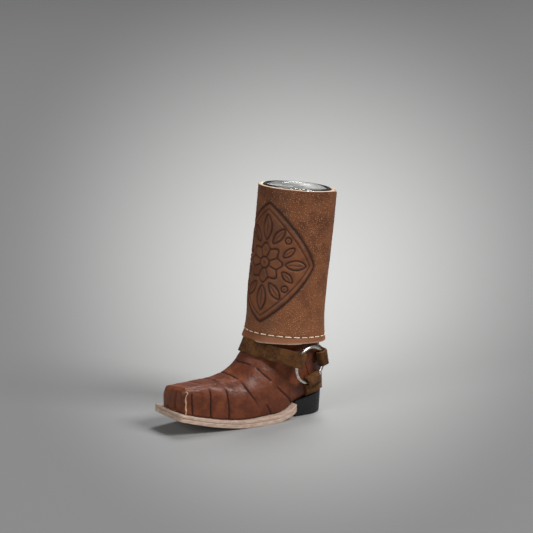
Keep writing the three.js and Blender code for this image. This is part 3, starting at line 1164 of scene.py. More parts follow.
@dataclass
class Upper:
    """Vamp and heel counter: one curved leather sheet, cut at the side seam.

    A station is a distance ahead of the instep's centre of curvature when negative, and an angle
    round that centre in degrees when positive.
    """

    sizes: BootSizes
    toe_width: float = 20.8
    ball_width: float = 28.8
    waist_width: float = 26.8
    ankle_width: float = 28.2
    toe_height: float = 21.6
    vamp_height: float = 22.3
    toe_bevel: float = 1.6
    toe_tilt: float = 1.6
    tilt_end: float = 20.0
    welt_margin: float = 3.4
    instep_radius: float = 22.5
    instep_swell: float = 2.4
    straight_ankle: float = math.radians(11)
    under_sole: float = 3.0
    seat_middle: float = 2.2
    ring_forward: float = 3.6
    ring_height: float = 27.0
    columns: int = 175
    rows: tuple[int, int, int] = (22, 74, 200)
    bevel_run: float = 1.2
    trace: int = 2400
    search_step: float = 0.05
    core_drop: float = 14.0
    lump_size: float = 5.0
    lump_height: float = 0.1
    lump_end: tuple[float, float] = (60.0, 68.0)
    relief_end: tuple[float, float] = (62.0, 70.0)
    rub_height: float = 0.16
    crease_width: float = 0.4
    crease_depth: float = 0.42
    pillow: float = 0.22
    pillow_reach: float = 1.7
    top_row: float = 10.2
    front_fold: float = 2.2
    low_crease: float = 28.5
    creases: tuple[Crease, ...] = (
        Crease(((11.5, -19.2, 0.0), (13.0, -19.2, 1.0), (30.0, -19.1, 1.0))),
        Crease((
            (0.0, -10.8, 0.55), (4.0, -11.0, 0.55), (7.0, -11.1, 0.15),
            (11.0, -10.4, 0.2), (13.5, -9.9, 1.0), (30.0, -9.8, 1.0),
        )),
        Crease((
            (0.0, -1.8, 0.85), (5.0, -2.4, 0.85), (7.5, -2.7, 0.2),
            (12.0, -1.9, 0.3), (14.5, -1.2, 1.0), (30.0, -0.6, 1.0),
        )),
        Crease((
            (0.0, 15.6, 0.85), (6.0, 17.2, 0.95), (9.0, 18.0, 0.25), (12.0, 18.6, 0.85),
            (15.0, 19.4, 1.0), (21.0, 21.4, 0.9), (25.0, 22.6, 0.12), (40.0, 23.0, 0.0),
        )),
        Crease((
            (0.0, 36.0, 0.75), (7.0, 40.3, 0.9), (8.3, 40.9, 0.08), (10.4, 41.5, 0.08), (11.8, 41.7, 0.95),
            (20.4, 42.0, 0.9), (21.6, 42.1, 0.05), (24.4, 42.3, 0.05), (25.8, 42.4, 0.85), (40.0, 43.0, 0.9),
        )),
    )
    pivot: tuple[float, float] = field(init=False)
    ankle_top: float = field(init=False)
    top_angle: float = field(init=False)
    top_station: float = field(init=False)
    toe_station: float = field(init=False)
    shoulder: float = field(init=False)
    half_widths: Keys = field(init=False)
    crowns: Keys = field(init=False)
    floors: Keys = field(init=False)
    widest: Keys = field(init=False)

    def __post_init__(self) -> None:
        """Finds the instep's centre of curvature and the keys of the cross sections along the foot."""
        sizes = self.sizes
        self.ankle_top = float(sizes.shaft_radius(sizes.shaft_overlap)) - sizes.shaft_leather - sizes.slip_gap
        sine, cosine = math.sin(sizes.shaft_lean), math.cos(sizes.shaft_lean)
        away = self.ankle_top + self.instep_radius
        y = -sizes.hem_forward + sine * sizes.shaft_overlap - cosine * away
        z = sizes.hem_height + cosine * sizes.shaft_overlap + sine * away
        self.pivot = (y, z)
        self.top_angle = math.pi / 2 - sizes.shaft_lean
        self.top_station = math.degrees(self.top_angle)
        self.toe_station = -sizes.toe_reach + self.welt_margin - y
        self.shoulder = self.toe_station + self.toe_bevel
        shoulder, top = self.shoulder, self.top_station
        widths = (self.toe_width, self.ball_width, self.waist_width, self.ankle_width)
        toe, ball, waist, ankle = (width / 2 for width in widths)
        self.half_widths = (
            (shoulder, toe), (shoulder / 2, (toe + ball) / 2 - 0.3), (0.0, ball - 0.5), (18.0, ball),
            (38.0, (ball + waist) / 2), (54.0, waist), (66.0, ankle), (73.0, (ankle + self.ankle_top) / 2),
            (79.0, self.ankle_top - 0.3), (top, self.ankle_top),
        )
        self.crowns = ((shoulder, 6.0), (shoulder / 2, 5.0), (0.0, 3.3), (30.0, 2.3), (top, 2.0))
        self.floors = ((shoulder, 6.0), (0.0, 4.5), (40.0, 3.2), (60.0, 2.3), (top, 2.0))
        self.widest = ((shoulder, 0.6), (0.0, 0.62), (45.0, 0.56), (top, 0.5))

    def frame(self, station: float) -> tuple[float, float, float, float]:
        """Finds where a station's reaches are counted from.

        Args:
            station: The station.

        Returns:
            Its base (y, z) and the direction (y, z) in which reaches are counted.
        """
        if station < 0:
            return self.pivot[0] + station, self.pivot[1], 0.0, -1.0
        angle = math.radians(station)
        return self.pivot[0], self.pivot[1], math.sin(angle), -math.cos(angle)

    def near(self, station: float) -> float:
        """Reach of the vamp's or instep's surface at a station.

        Args:
            station: The station.

        Returns:
            The reach from the station's base.
        """
        vamp = self.pivot[1] - self.vamp_height
        if station < 0:
            share = max(station, self.shoulder) / self.shoulder
            return vamp + (self.pivot[1] - self.toe_height - vamp) * share**0.8
        from_top = min(self.top_angle - math.radians(station), self.straight_ankle)
        swell = self.instep_swell * float(smoothstep(station, 20, 50) * (1 - smoothstep(station, 62, 72)))
        instep = self.instep_radius / math.cos(from_top) - swell
        return vamp + (instep - vamp) * float(smoothstep(station, 0, 26))

    def far(self, station: float) -> float:
        """Reach of the sole or of the heel's back at a station.

        Args:
            station: The station.

        Returns:
            The reach from the station's base.
        """
        base_y, base_z, down_y, down_z = self.frame(station)
        reaches = np.arange(self.instep_radius, 2 * self.sizes.toe_reach, self.search_step)
        below = base_z + down_z * reaches <= self.sizes.sole_top(base_y + down_y * reaches)
        to_sole = (reaches[np.argmax(below)] if below.any() else reaches[-1]) + self.under_sole
        if station <= 0:
            return to_sole
        to_back = (self.sizes.heel_back - base_y) / down_y
        to_tube = (self.instep_radius + 2 * self.ankle_top) / math.cos(self.top_angle - math.radians(station))
        share = float(smoothstep(station, 67, 79))
        return min(to_sole, to_back) * (1 - share) + to_tube * share

    def arc(self, station: float) -> tuple[Array, Array]:
        """Traces the sheet across the foot at one station, from sole edge to sole edge over the top.

        Args:
            station: Where to trace.

        Returns:
            Evenly spread points, and their distances from the top line, counted positive to the left.
        """
        base_y, base_z, down_y, down_z = self.frame(station)
        bevel = max(self.shoulder - station, 0.0)
        near, far = self.near(station) + bevel, self.far(station)
        half = key_value(self.half_widths, station) - bevel
        middle = near + (far - near) * key_value(self.widest, station)
        angle = np.linspace(math.pi / 2, -math.pi / 2, self.trace)
        upper = np.sin(angle) > 0
        crown = np.where(upper, key_value(self.crowns, station), key_value(self.floors, station))
        edge = np.abs(np.cos(angle)) ** (2 / crown)
        tilt = self.toe_tilt * (1 - float(smoothstep(station, self.shoulder / 2, self.tilt_end)))
        halves = []
        for way in (-1, 1):
            depth = np.where(upper, near - way * tilt * edge - middle, far - middle)
            reach = middle + depth * np.abs(np.sin(angle)) ** (2 / crown)
            points = np.column_stack([way * half * edge, base_y + down_y * reach, base_z + down_z * reach])
            halves.append(self.spread(points))
        (right, right_places), (left, left_places) = halves
        return np.vstack([right[:0:-1], left]), np.concatenate([-right_places[:0:-1], left_places])

    def spread(self, points: Array) -> tuple[Array, Array]:
        """Cuts one side of an arc at the sole line and spreads its points evenly.

        Args:
            points: Points from the top line down.

        Returns:
            The spread points and their distances from the top line.
        """
        clear = points[:, 2] - self.sizes.sole_top(points[:, 1]) - self.sizes.glue_gap
        cut = np.argmax(clear < 0) if (clear < 0).any() else len(points) - 1
        if 0 < cut and clear[cut] < 0:
            share = clear[cut - 1] / (clear[cut - 1] - clear[cut])
            points[cut] = points[cut - 1] + (points[cut] - points[cut - 1]) * share
        points = points[: cut + 1]
        run = run_along(points)
        places = np.linspace(0, run[-1], self.columns // 2 + 1)
        return np.column_stack([np.interp(places, run, points[:, axis]) for axis in range(3)]), places

    def stations(self) -> Array:
        """Lists the stations from the toe's front to the shaft."""
        return spaced((self.toe_station, self.shoulder + self.bevel_run, 0.0, self.top_station), self.rows)

    @staticmethod
    def girths(spans: Array) -> Array:
        """Gives the distance from the top line to the sole edge on each point's own side."""
        width = np.abs(spans)
        return np.where(spans < 0, width[:, :1], width[:, -1:])

    def rubbing(self, stations: Array, spans: Array) -> Array:
        """Works out where the toe's front edge is rubbed pale.

        Args:
            stations: Station of each point.
            spans: Signed distance of each point from the top line.

        Returns:
            Strength of the rubbing, about 0 to 1.
        """
        width = np.abs(spans)
        hook = 0.9 * ridge(width - 11.4, 0.7) + 0.07 * np.sin(width * 1.7)
        front_edge = ridge(stations - self.shoulder + 0.35 - hook, 0.19)
        left_corner = front_edge * smoothstep(spans, 10.2, 11.0)
        right_corner = 0.3 * front_edge * smoothstep(-spans, 12, 13)
        return np.maximum(left_corner, right_corner)

    def relief(self, stations: Array, spans: Array, reaches: Array) -> dict[str, Array]:
        """Works out tiles, creases and the painted shade laid in them.

        Args:
            stations: Station of each point.
            spans: Signed distance of each point from the top line.
            reaches: Distance of each point from the centre of curvature.

        Returns:
            Outward height in millimetres, and the marks for the creases (with their painted shade, also along
            the sole joint), tile and rubbed.
        """
        width = np.abs(spans)
        girth = self.girths(spans)
        stretch = np.where(stations < 0, 1.0, np.radians(1) * reaches)
        waver = 0.12 * np.sin(width * 0.5 + stations * 0.31) + 0.04 * np.sin(width * 2.3)
        wavy = stations + waver / stretch
        crease = np.zeros_like(stations)
        swell = np.zeros_like(stations)
        tile = 0.5 * smoothstep(width, self.top_row - 0.4, self.top_row + 0.4)
        for number, line in enumerate(self.creases, start=1):
            places, strengths = line.read(width)
            away = (wavy - places) * stretch
            crease = np.maximum(crease, strengths * ridge(away, self.crease_width))
            swell = np.maximum(swell, (0.35 + 0.65 * strengths) * ridge(away, self.pillow_reach))
            tile = tile + np.where(away > 0, (0.37 * number) % 0.6 - 0.28, 0.0)
        off_toe = smoothstep(stations, self.shoulder + 1, self.shoulder + 6)
        long_line = ridge(width - self.top_row, 0.5) * (1 - smoothstep(stations, 8, 24)) * off_toe
        low_line = ridge((wavy - self.low_crease) * stretch, 0.5) * smoothstep(width - girth, -8, -5.5)
        # Painted shade along the upper's lower edge where it meets the sole; it darkens the colour only.
        sole_joint_shade = ridge(girth - width, 0.55) * (1 - smoothstep(stations, 50, 58))
        crease = np.maximum.reduce([crease, 0.32 * long_line, 0.8 * low_line])
        swell = np.maximum(swell, 0.5 * long_line)
        rubbed = self.rubbing(stations, spans)
        height = -self.pillow * swell - self.crease_depth * crease + self.rub_height * rubbed
        return {
            "height": height * (1 - smoothstep(stations, *self.relief_end)),
            # The crease mark is painted shade: the creases and the sole joint are darkened in colour.
            "crease": np.clip(np.maximum(crease * 1.15, 0.75 * sole_joint_shade), 0, 1),
            "tile": np.clip(np.mod(tile, 1.0), 0, 1),
            "rubbed": np.clip(rubbed * 1.3, 0, 1),
        }

    def back_calm(self, points: Array, spans: Array) -> Array:
        """Works out the share of the relief to keep: none where the sheet's edges meet at the back.

        Args:
            points: The sheet's points in rows.
            spans: Signed distance of each point from the top line.

        Returns:
            Values from 0 to 1.
        """
        near_edge = smoothstep(np.abs(spans) / self.girths(spans), 0.9, 1.0)
        off_middle = smoothstep(np.abs(points[:, :, 0]), 0.0, 2.0)
        return 1 - near_edge * (1 - off_middle)

    def sheet(self) -> tuple[Array, dict[str, Array]]:
        """Builds the sheet with its creases pressed in.

        Returns:
            Its points in rows, and the marks kept on them.
        """
        stations = self.stations()
        arcs = [self.arc(float(station)) for station in stations]
        points = np.array([arc[0] for arc in arcs])
        spans = np.array([arc[1] for arc in arcs])
        along = np.gradient(points, axis=0)
        across = np.gradient(points, axis=1)
        normals = np.cross(across, along)
        normals /= np.linalg.norm(normals, axis=2, keepdims=True) + 1e-12
        inward = np.array([0.0, self.pivot[0], self.pivot[1] - self.core_drop]) - points
        normals[(normals * inward).sum(axis=2).mean(axis=1) > 0] *= -1
        reaches = np.hypot(points[:, :, 1] - self.pivot[0], points[:, :, 2] - self.pivot[1])
        marks = self.relief(np.repeat(stations[:, None], points.shape[1], axis=1), spans, reaches)
        height = marks.pop("height")
        lumps = rough(points, self.lump_size).reshape(height.shape) * self.lump_height
        calm = 1 - smoothstep(stations, *self.lump_end)[:, None]
        lift = (height + lumps) * calm * self.back_calm(points, spans)
        return points + normals * lift[:, :, None], marks

    def front(self, first: Array, rows: int = 18) -> tuple[Array, Array]:
        """Fills the toe's flat front with rows that close in on the middle of its lower edge.

        Args:
            first: The sheet's first row.
            rows: Number of rows.

        Returns:
            The new rows, the middle one first, and the painted shade of the fold down the front.
        """
        # fold_shade is painted shade down the front fold, laid into the crease mark.
        swell, fold_depth, fold_shade = 0.6, 0.55, 0.55
        low = first[[0, -1]].mean(axis=0)
        shares = np.linspace(0, 1, rows, endpoint=False)
        filled = low + (first - low) * shares[:, None, None]
        height = filled[:, :, 2] - low[2]
        fold = ridge(filled[:, :, 0] - self.front_fold - 0.12 * height, 0.95) * smoothstep(height, -0.5, 1.5)
        filled[:, :, 1] -= swell * (1 - shares**2)[:, None] - fold_depth * fold * (1 - shares**4)[:, None]
        return filled, fold_shade * fold

    def build(self, palette: Palette) -> None:
        """Builds both pieces.

        Args:
            palette: Materials.
        """
        points, marks = self.sheet()
        front, fold = self.front(points[0])
        rows = len(front) + len(points)
        every = np.concatenate([front, points])
        # The front fold's painted shade joins the crease mark; the other marks are empty on the front rows.
        padded = {
            name: np.concatenate([fold if name == "crease" else np.zeros_like(fold), values])
            for name, values in marks.items()
        }
        faces = grid_faces(rows, self.columns, False, False)
        halves = (("vamp_leather", "vamp", True), ("counter_leather", "heel_counter", False))
        for name, node, is_front in halves:
            piece = make_piece(name, every, faces, palette.upper, padded)
            self.cut(piece, is_front)
            wall = piece.modifiers.new("leather", "SOLIDIFY")
            wall.thickness = self.sizes.upper_leather * MM
            wall.offset = -1.0
            wall.use_rim = True
            freeze(piece)
            sharpen(piece, 50)
            settle(piece, Body.BOOT, Slot.UPPER, node)

    def cut(self, piece: bpy.types.Object, keep_front: bool) -> None:
        """Cuts the sheet at the side seam, which runs from the ring down to the heel seat.

        Args:
            piece: The whole sheet.
            keep_front: Keep the toe's side of the seam.
        """
        seat = float(self.sizes.sole_top(self.seat_middle))
        low = Vector((0, self.seat_middle, seat)) * MM
        rise = Vector((0, -self.ring_forward - self.seat_middle, self.ring_height - seat))
        normal = Vector((1, 0, 0)).cross(rise).normalized()
        if normal.y < 0:
            normal.negate()
        shift = normal * (self.sizes.glue_gap / 2 * MM) * (-1 if keep_front else 1)
        shape = bmesh.new()
        shape.from_mesh(piece.data)
        everything = [*shape.verts, *shape.edges, *shape.faces]
        bmesh.ops.bisect_plane(
            shape, geom=everything, plane_co=low + shift, plane_no=normal,
            clear_outer=keep_front, clear_inner=not keep_front,
        )
        shape.to_mesh(piece.data)
        shape.free()


# Shaft


@dataclass(frozen=True)
class Leaf:
    """A leaf of the tooling: where its stalk starts, its direction in degrees, length and half width."""

    across: float
    up: float
    turn: float
    length: float
    half: float

    def lines(self, across: Array, up: Array) -> Array:
        """Reads the leaf's outline and midrib.

        Args:
            across: Places along the leather.
            up: Places up the leather.

        Returns:
            Depth of its lines, 0 to 1.
        """
        angle = math.radians(self.turn)
        sine, cosine = math.sin(angle), math.cos(angle)
        along = (across - self.across) * cosine + (up - self.up) * sine
        side = np.abs(-(across - self.across) * sine + (up - self.up) * cosine)
        share = along / self.length
        edge = self.half * (1 - (2 * share - 1) ** 2)
        slope = 4 * self.half * (1 - 2 * share) / self.length
        within = smoothstep(share, -0.03, 0.03) * (1 - smoothstep(share, 0.97, 1.03))
        outline = ridge((side - edge) / np.sqrt(1 + slope**2), 0.42) * within
        rib = 0.6 * ridge(side, 0.28) * smoothstep(share, 0.08, 0.2) * (1 - smoothstep(share, 0.7, 0.85))
        return np.maximum(outline, rib)


@dataclass
class Tooling:
    """A lozenge frame round a rosette with leaf sprays, cut and pressed into the leather.

    Places are millimetres along and up the leather from the middle of the design.
    """

    half_width: float = 25.5
    half_height: float = 28.5
    bulge: float = 1.22
    rosette: float = 8.4
    scallop: float = 1.1
    petals: int = 8
    bud: float = 2.7

    def frame_distance(self, across: Array, up: Array) -> Array:
        """Signed distance to the frame, negative inside.

        Args:
            across: Places along the leather.
            up: Places up the leather.

        Returns:
            The distance at each.
        """
        power = self.bulge
        a = np.abs(across) + 1e-6
        b = np.abs(up) + 1e-6
        value = (a / self.half_width) ** power + (b / self.half_height) ** power
        slope_a = power * a ** (power - 1) / self.half_width**power
        slope_b = power * b ** (power - 1) / self.half_height**power
        return (value - 1) / np.hypot(slope_a, slope_b)

    @staticmethod
    def leaves() -> list[Leaf]:
        """Lists a spray of three leaves towards each of the lozenge's corners.

        Returns:
            The leaves.
        """
        found = []
        for way in (1, -1):
            upright = 180.0 - way * 90
            level = 90.0 - way * 90
            found.append(Leaf(0.0, way * 10.6, upright, 12.6, 2.5))
            found.append(Leaf(way * 10.6, 0.0, level, 10.6, 2.3))
            for side in (-1, 1):
                found.append(Leaf(side * 3.6, way * 9.4, upright - side * way * 38, 9.6, 1.9))
                found.append(Leaf(way * 9.4, side * 3.4, level + side * way * 42, 7.4, 1.6))
        return found

    def read(self, across: Array, up: Array) -> tuple[Array, Array]:
        """Reads the design.

        Args:
            across: Places along the leather.
            up: Places up the leather.

        Returns:
            Depth of the cut lines and share inside the frame, both 0 to 1.
        """
        outer = self.frame_distance(across, up)
        radius = np.hypot(across, up)
        angle = np.arctan2(up, across)
        edge = self.rosette + self.scallop * np.cos(self.petals * angle)
        petals = ridge(radius - edge, 0.48)
        between = ridge(radius * np.cos(self.petals / 2 * angle) / (self.petals / 2), 0.32)
        between = between * smoothstep(radius, self.bud, self.bud + 0.6) * (1 - smoothstep(radius, 6.6, 7.6))
        bud = ridge(radius - self.bud, 0.42)
        seed = 0.7 * ridge(radius, 0.75)
        studs = np.zeros_like(across)
        for side in (-1, 1):
            for level in (-1, 1):
                away = np.hypot(across - side * 11.4, up - level * 11.6)
                studs = np.maximum.reduce([studs, ridge(away - 1.5, 0.36), 0.6 * ridge(away, 0.5)])
        lines = np.maximum.reduce([
            ridge(outer, 0.78), 0.75 * ridge(outer + 2.7, 0.38), petals, between, bud, seed, studs,
            *(leaf.lines(across, up) for leaf in self.leaves()),
        ])
        return lines, 1 - smoothstep(outer, -0.9, 0.3)


@dataclass
class Shaft:
    """The wrapped leather tube with its tooling, lapped seam and hem stitches."""

    sizes: BootSizes
    tooling: Tooling
    design_angle: float = math.radians(15)
    design_height: float = 37.0
    line_depth: float = 0.5
    stitch_height: float = 2.8
    stitch_pitch: float = 4.05
    stitch_length: float = 3.3
    thread: float = 0.6
    edge_round: float = 0.3
    lap_dip: float = 1.5
    dip_run: float = 0.5
    dip_reach: float = 8.0
    hem_dip: float = 1.35
    hem_push: float = 0.6
    hem_ahead: tuple[float, float] = (math.radians(15), math.radians(110))
    slump: float = 0.85
    slump_swell: float = 0.3
    slump_side: float = math.radians(-33)
    slump_heights: tuple[float, float, float] = (-8.0, 20.0, 62.0)
    plain_step: float = math.radians(2.2)
    fine_columns: int = 176
    row_step: float = 0.36
    bump_size: float = 9.0
    bump_height: float = 0.12
    ripple_size: float = 2.2
    ripple_height: float = 0.03
    seam_depth: float = 0.16
    panel_rise: float = 0.1
    edge_waver: float = 0.12

    def turns(self) -> Array:
        """Lists the angles round the tube from the lap, closer together under the tooling.

        Returns:
            The angles.
        """
        half = self.tooling.half_width / self.sizes.shaft_waist
        low = self.design_angle - half - self.sizes.lap_angle + FULL_TURN
        high = low + 2 * half
        before = np.arange(0, low, self.plain_step)
        fine = np.linspace(low, high, self.fine_columns, endpoint=False)
        after = np.linspace(high, FULL_TURN, int((FULL_TURN - high) / self.plain_step) + 1)
        return np.concatenate([before, fine, after])

    def ring(self, turns: Array, height: Array, inset: Array | float, lapped: float) -> Array:
        """Traces the tube at heights.

        Args:
            turns: Angles from the lap.
            height: Height above the hem at each angle.
            inset: Distance inside the outer surface.
            lapped: Share of the lap's step.

        Returns:
            Points in the shaft's own frame.
        """
        sizes = self.sizes
        lap_start, lap_full = FULL_TURN - sizes.lap_run, FULL_TURN - sizes.lap_run / 3
        rise = sizes.lap_rise * lapped * smoothstep(turns, lap_start, lap_full)
        dip = self.lap_dip * lapped * np.clip((turns - FULL_TURN) / self.dip_run + 1, 0, 1) ** 2
        near_top = smoothstep(height, sizes.shaft_length - self.dip_reach, sizes.shaft_length)
        angle = sizes.lap_angle + turns
        ahead = np.abs(np.mod(angle + math.pi, FULL_TURN) - math.pi)
        low = (1 - smoothstep(ahead, *self.hem_ahead)) * (1 - smoothstep(height, 0, self.stitch_height))
        height = height - dip * near_top - self.hem_dip * low
        start, most, end = self.slump_heights
        share = lapped * smoothstep(height, start, most) * (1 - smoothstep(height, most, end))
        slump = share * (self.slump_swell + self.slump * np.cos(angle - self.slump_side))
        radius = sizes.shaft_radius(height) - inset + rise + self.hem_push * low + slump
        return round_row(radius, angle, height)

    def outside(self, turns: Array) -> tuple[list[Array], dict[str, list[Array]]]:
        """Builds the tooled outer wall from hem to top edge.

        Args:
            turns: Angles from the lap.

        Returns:
            Its rows, and the marks line (painted shade in cut lines and seam), field, worn, raw, and the mark
            of the lining, which is painted light, on them.
        """
        sizes = self.sizes
        top = sizes.shaft_length
        fine = np.arange(1.2, top - 1.0, self.row_step)
        levels = np.concatenate([[self.edge_round, 0.6], fine, [top - 0.6, top - self.edge_round]])
        rows: list[Array] = []
        marks: dict[str, list[Array]] = {"line": [], "field": [], "worn": [], "raw": [], "lit_lining": []}
        turned = np.mod(sizes.lap_angle + turns - self.design_angle + math.pi, FULL_TURN) - math.pi
        across = turned * sizes.shaft_waist
        lap_edge = smoothstep(turns, FULL_TURN - 0.012, FULL_TURN - 0.004)
        for level in levels:
            height = np.full_like(turns, level)
            lines, inside = self.tooling.read(across, height - self.design_height)
            seam = ridge(height - self.stitch_height, 0.5)
            wall = self.ring(turns, height, 0.0, 1.0)
            bumps = rough(wall, self.bump_size) * self.bump_height
            bumps = bumps + rough(wall, self.ripple_size, 2) * self.ripple_height
            sink = self.line_depth * lines + self.seam_depth * seam - self.panel_rise * inside - bumps
            rows.append(self.ring(turns, height, sink, 1.0))
            ragged = rough(wall, 3.0) * 0.5
            # Over the whole shaft the worn mark rises towards the hem, so the colour is paler lower down.
            lower_paler = 0.42 * (1 - height / top)
            # The line mark darkens the cut lines and the stitch seam as painted shade.
            marks["line"].append(np.clip(lines + 0.35 * seam, 0, 1))
            marks["field"].append((1 - inside) * smoothstep(height, 1.0, 4.5))
            marks["worn"].append(np.maximum(0.75 * (1 - smoothstep(height + ragged, 1.2, 6.0)), lower_paler))
            marks["raw"].append(np.maximum(0.55 * (1 - smoothstep(height, 0.2, 0.7)), 0.5 * lap_edge))
            marks["lit_lining"].append(np.zeros_like(turns))
        return rows, marks

    def inside(self) -> list[tuple[float, float]]:
        """Lists the rows over the top edge, down the inner wall and under the hem.

        Returns:
            Inset and height of each row.
        """
        edge = self.edge_round
        inner = self.sizes.shaft_leather
        top = self.sizes.shaft_length
        plan = [(edge, top), (inner / 2, top), (inner - edge, top), (inner, top - edge)]
        plan += [(inner, float(height)) for height in np.linspace(top - 4, self.sizes.shaft_flare, 6)]
        plan += [(inner, height) for height in (9.0, 6.0, 3.0, edge)]
        plan += [(inset, 0.0) for inset in (inner - edge, inner / 2, edge)]
        return plan

    def build(self, palette: Palette) -> None:
        """Builds the tube and its stitches.

        Args:
            palette: Materials.
        """
        sizes = self.sizes
        inner = sizes.shaft_leather
        turns = self.turns()
        rows, marks = self.outside(turns)
        circle = np.column_stack([np.cos(turns) * 6, np.sin(turns) * 6, turns * 0])
        waver = rough(circle, 3.0) * self.edge_waver
        for inset, height in self.inside():
            level = np.full_like(turns, height)
            if height in (sizes.shaft_length, 0.0):
                level = level + waver
            rows.append(self.ring(turns, level, inset, 1 - inset / inner))
            for name, values in marks.items():
                # The inner wall takes the lining mark, whose near-white is painted light.
                marked = name == "raw" or (name == "lit_lining" and inset == inner)
                values.append(np.full_like(turns, float(marked)))
        points = sizes.from_shaft(np.concatenate(rows))
        faces = grid_faces(len(rows), len(turns), True, True)
        joined = {name: np.concatenate(values) for name, values in marks.items()}
        piece = make_piece("shaft_tube", points, faces, palette.shaft, joined)
        sharpen(piece, 55)
        settle(piece, Body.BOOT, Slot.SHAFT, "shaft_leather")
        settle(self.stitches(palette), Body.BOOT, Slot.SOLE)

    def stitches(self, palette: Palette) -> bpy.types.Object:
        """Lays running stitches round the hem with geometry nodes.

        Args:
            palette: Materials.

        Returns:
            The stitches as one plain mesh.
        """
        turns = np.linspace(0.02, FULL_TURN, 300, endpoint=False)
        level = np.full_like(turns, self.stitch_height)
        line = self.sizes.from_shaft(self.ring(turns, level, -0.02, 1.0))
        edges = [(place, place + 1) for place in range(len(line) - 1)]
        mesh = bpy.data.meshes.new("hem_stitches")
        mesh.from_pydata((line * MM).tolist(), edges, [])
        piece = add_object("hem_stitches", mesh)
        grow(piece, stitch_tree(), {
            "Pitch": self.stitch_pitch * MM,
            "Length": self.stitch_length * MM,
            "Thread": self.thread * MM,
            "Finish": palette.thread,
        })
        return piece


def geometry_tree(
    name: str, inputs: dict[str, Socket]
) -> tuple[Graph, bpy.types.NodeOutputs, bpy.types.NodeInputs]:
    """Starts a geometry nodes tree that takes and gives a geometry.

    Args:
        name: Name of the tree.
        inputs: Types of its other inputs by name.

    Returns:
        Its graph, the sockets that its inputs give and the sockets that its outputs take.
    """
    shape = {"Geometry": Socket.GEOMETRY}
    return open_tree(name, "GeometryNodeTree", shape | inputs, shape)


def stitch_tree() -> bpy.types.NodeTree:
    """Builds the tree that sets a stitch at every pitch along a line.

    Returns:
        The tree.
    """
    graph, given, taken = geometry_tree("Running stitches", {
        "Pitch": Socket.FLOAT, "Length": Socket.FLOAT, "Thread": Socket.FLOAT, "Finish": Socket.MATERIAL,
    })
    line = graph.add("GeometryNodeMeshToCurve", {"Mesh": given["Geometry"]})
    steps = {"Curve": line.outputs[0], "Length": given["Pitch"]}
    stepped = graph.add("GeometryNodeResampleCurve", steps, mode="LENGTH")
    sides = {"X": given["Thread"], "Y": given["Thread"], "Z": given["Length"]}
    size = graph.add("ShaderNodeCombineXYZ", sides)
    block = graph.add("GeometryNodeMeshCube", {"Size": size.outputs[0], "Vertices Z": 5})
    shaped = graph.add("GeometryNodeSubdivisionSurface", {"Mesh": block.outputs["Mesh"], "Level": 1})
    tangent = graph.add("GeometryNodeInputTangent")
    turn = graph.add("FunctionNodeAlignRotationToVector", {"Vector": tangent.outputs[0]}, axis="Z")
    copies = graph.add("GeometryNodeInstanceOnPoints", {
        "Points": stepped.outputs[0], "Instance": shaped.outputs[0], "Rotation": turn.outputs[0],
    })
    real = graph.add("GeometryNodeRealizeInstances", {"Geometry": copies.outputs[0]})
    smooth = graph.add("GeometryNodeSetShadeSmooth", {"Geometry": real.outputs[0]})
    dress = {"Geometry": smooth.outputs[0], "Material": given["Finish"]}
    graph.feed(taken["Geometry"], graph.add("GeometryNodeSetMaterial", dress).outputs[0])
    return graph.tree


# Glass


@dataclass
class ShotGlass:
    """The clear tumbler that stands in the shaft."""

    sizes: BootSizes
    proud: float = 0.5
    wall: float = 2.3
    base: float = 6.0
    taper: float = 1.3
    chamfer: float = 1.0
    fillet: float = 2.0
    sides: int = 160

    def profile(self) -> Array:
        """Traces half the section from the foot's middle to the base's middle.

        Returns:
            Radius and height of each point.
        """
        sizes = self.sizes
        lip = self.wall / 2
        rim = sizes.shaft_top - sizes.shaft_leather - sizes.slip_gap
        foot = rim - self.taper
        inner = foot - self.wall
        bottom = sizes.shaft_overlap + sizes.glue_gap
        floor = bottom + self.base
        low = floor + self.fillet
        high = sizes.shaft_length + self.proud - lip
        climb = np.linspace(0.1, 0.9, 6)
        line = [(0.0, bottom), (foot - self.chamfer, bottom)]
        line += arc_points((foot - self.chamfer, bottom + self.chamfer), self.chamfer, np.linspace(-90, 0, 6))
        line += [(foot + self.taper * share, bottom + (high - bottom) * share) for share in climb]
        line += arc_points((rim - lip, high), lip, np.linspace(0, 180, 13))
        line += [(inner + self.taper * share, low + (high - low) * share) for share in climb[::-1]]
        line += arc_points((inner - self.fillet, low), self.fillet, np.linspace(0, -90, 8))
        line.append((0.0, floor))
        return np.array(line)

    def build(self, palette: Palette) -> None:
        """Builds the glass.

        Args:
            palette: Materials.
        """
        turns = np.linspace(0, FULL_TURN, self.sides, endpoint=False)
        rows = [round_row(radius, turns, height) for radius, height in self.profile()]
        points = self.sizes.from_shaft(np.concatenate(rows))
        faces = grid_faces(len(rows), self.sides, False, True)
        piece = make_piece("glass_tumbler", points, faces, palette.glass)
        settle(piece, Body.GLASS, Slot.GLASS, "shot_glass")


# Sole and heel


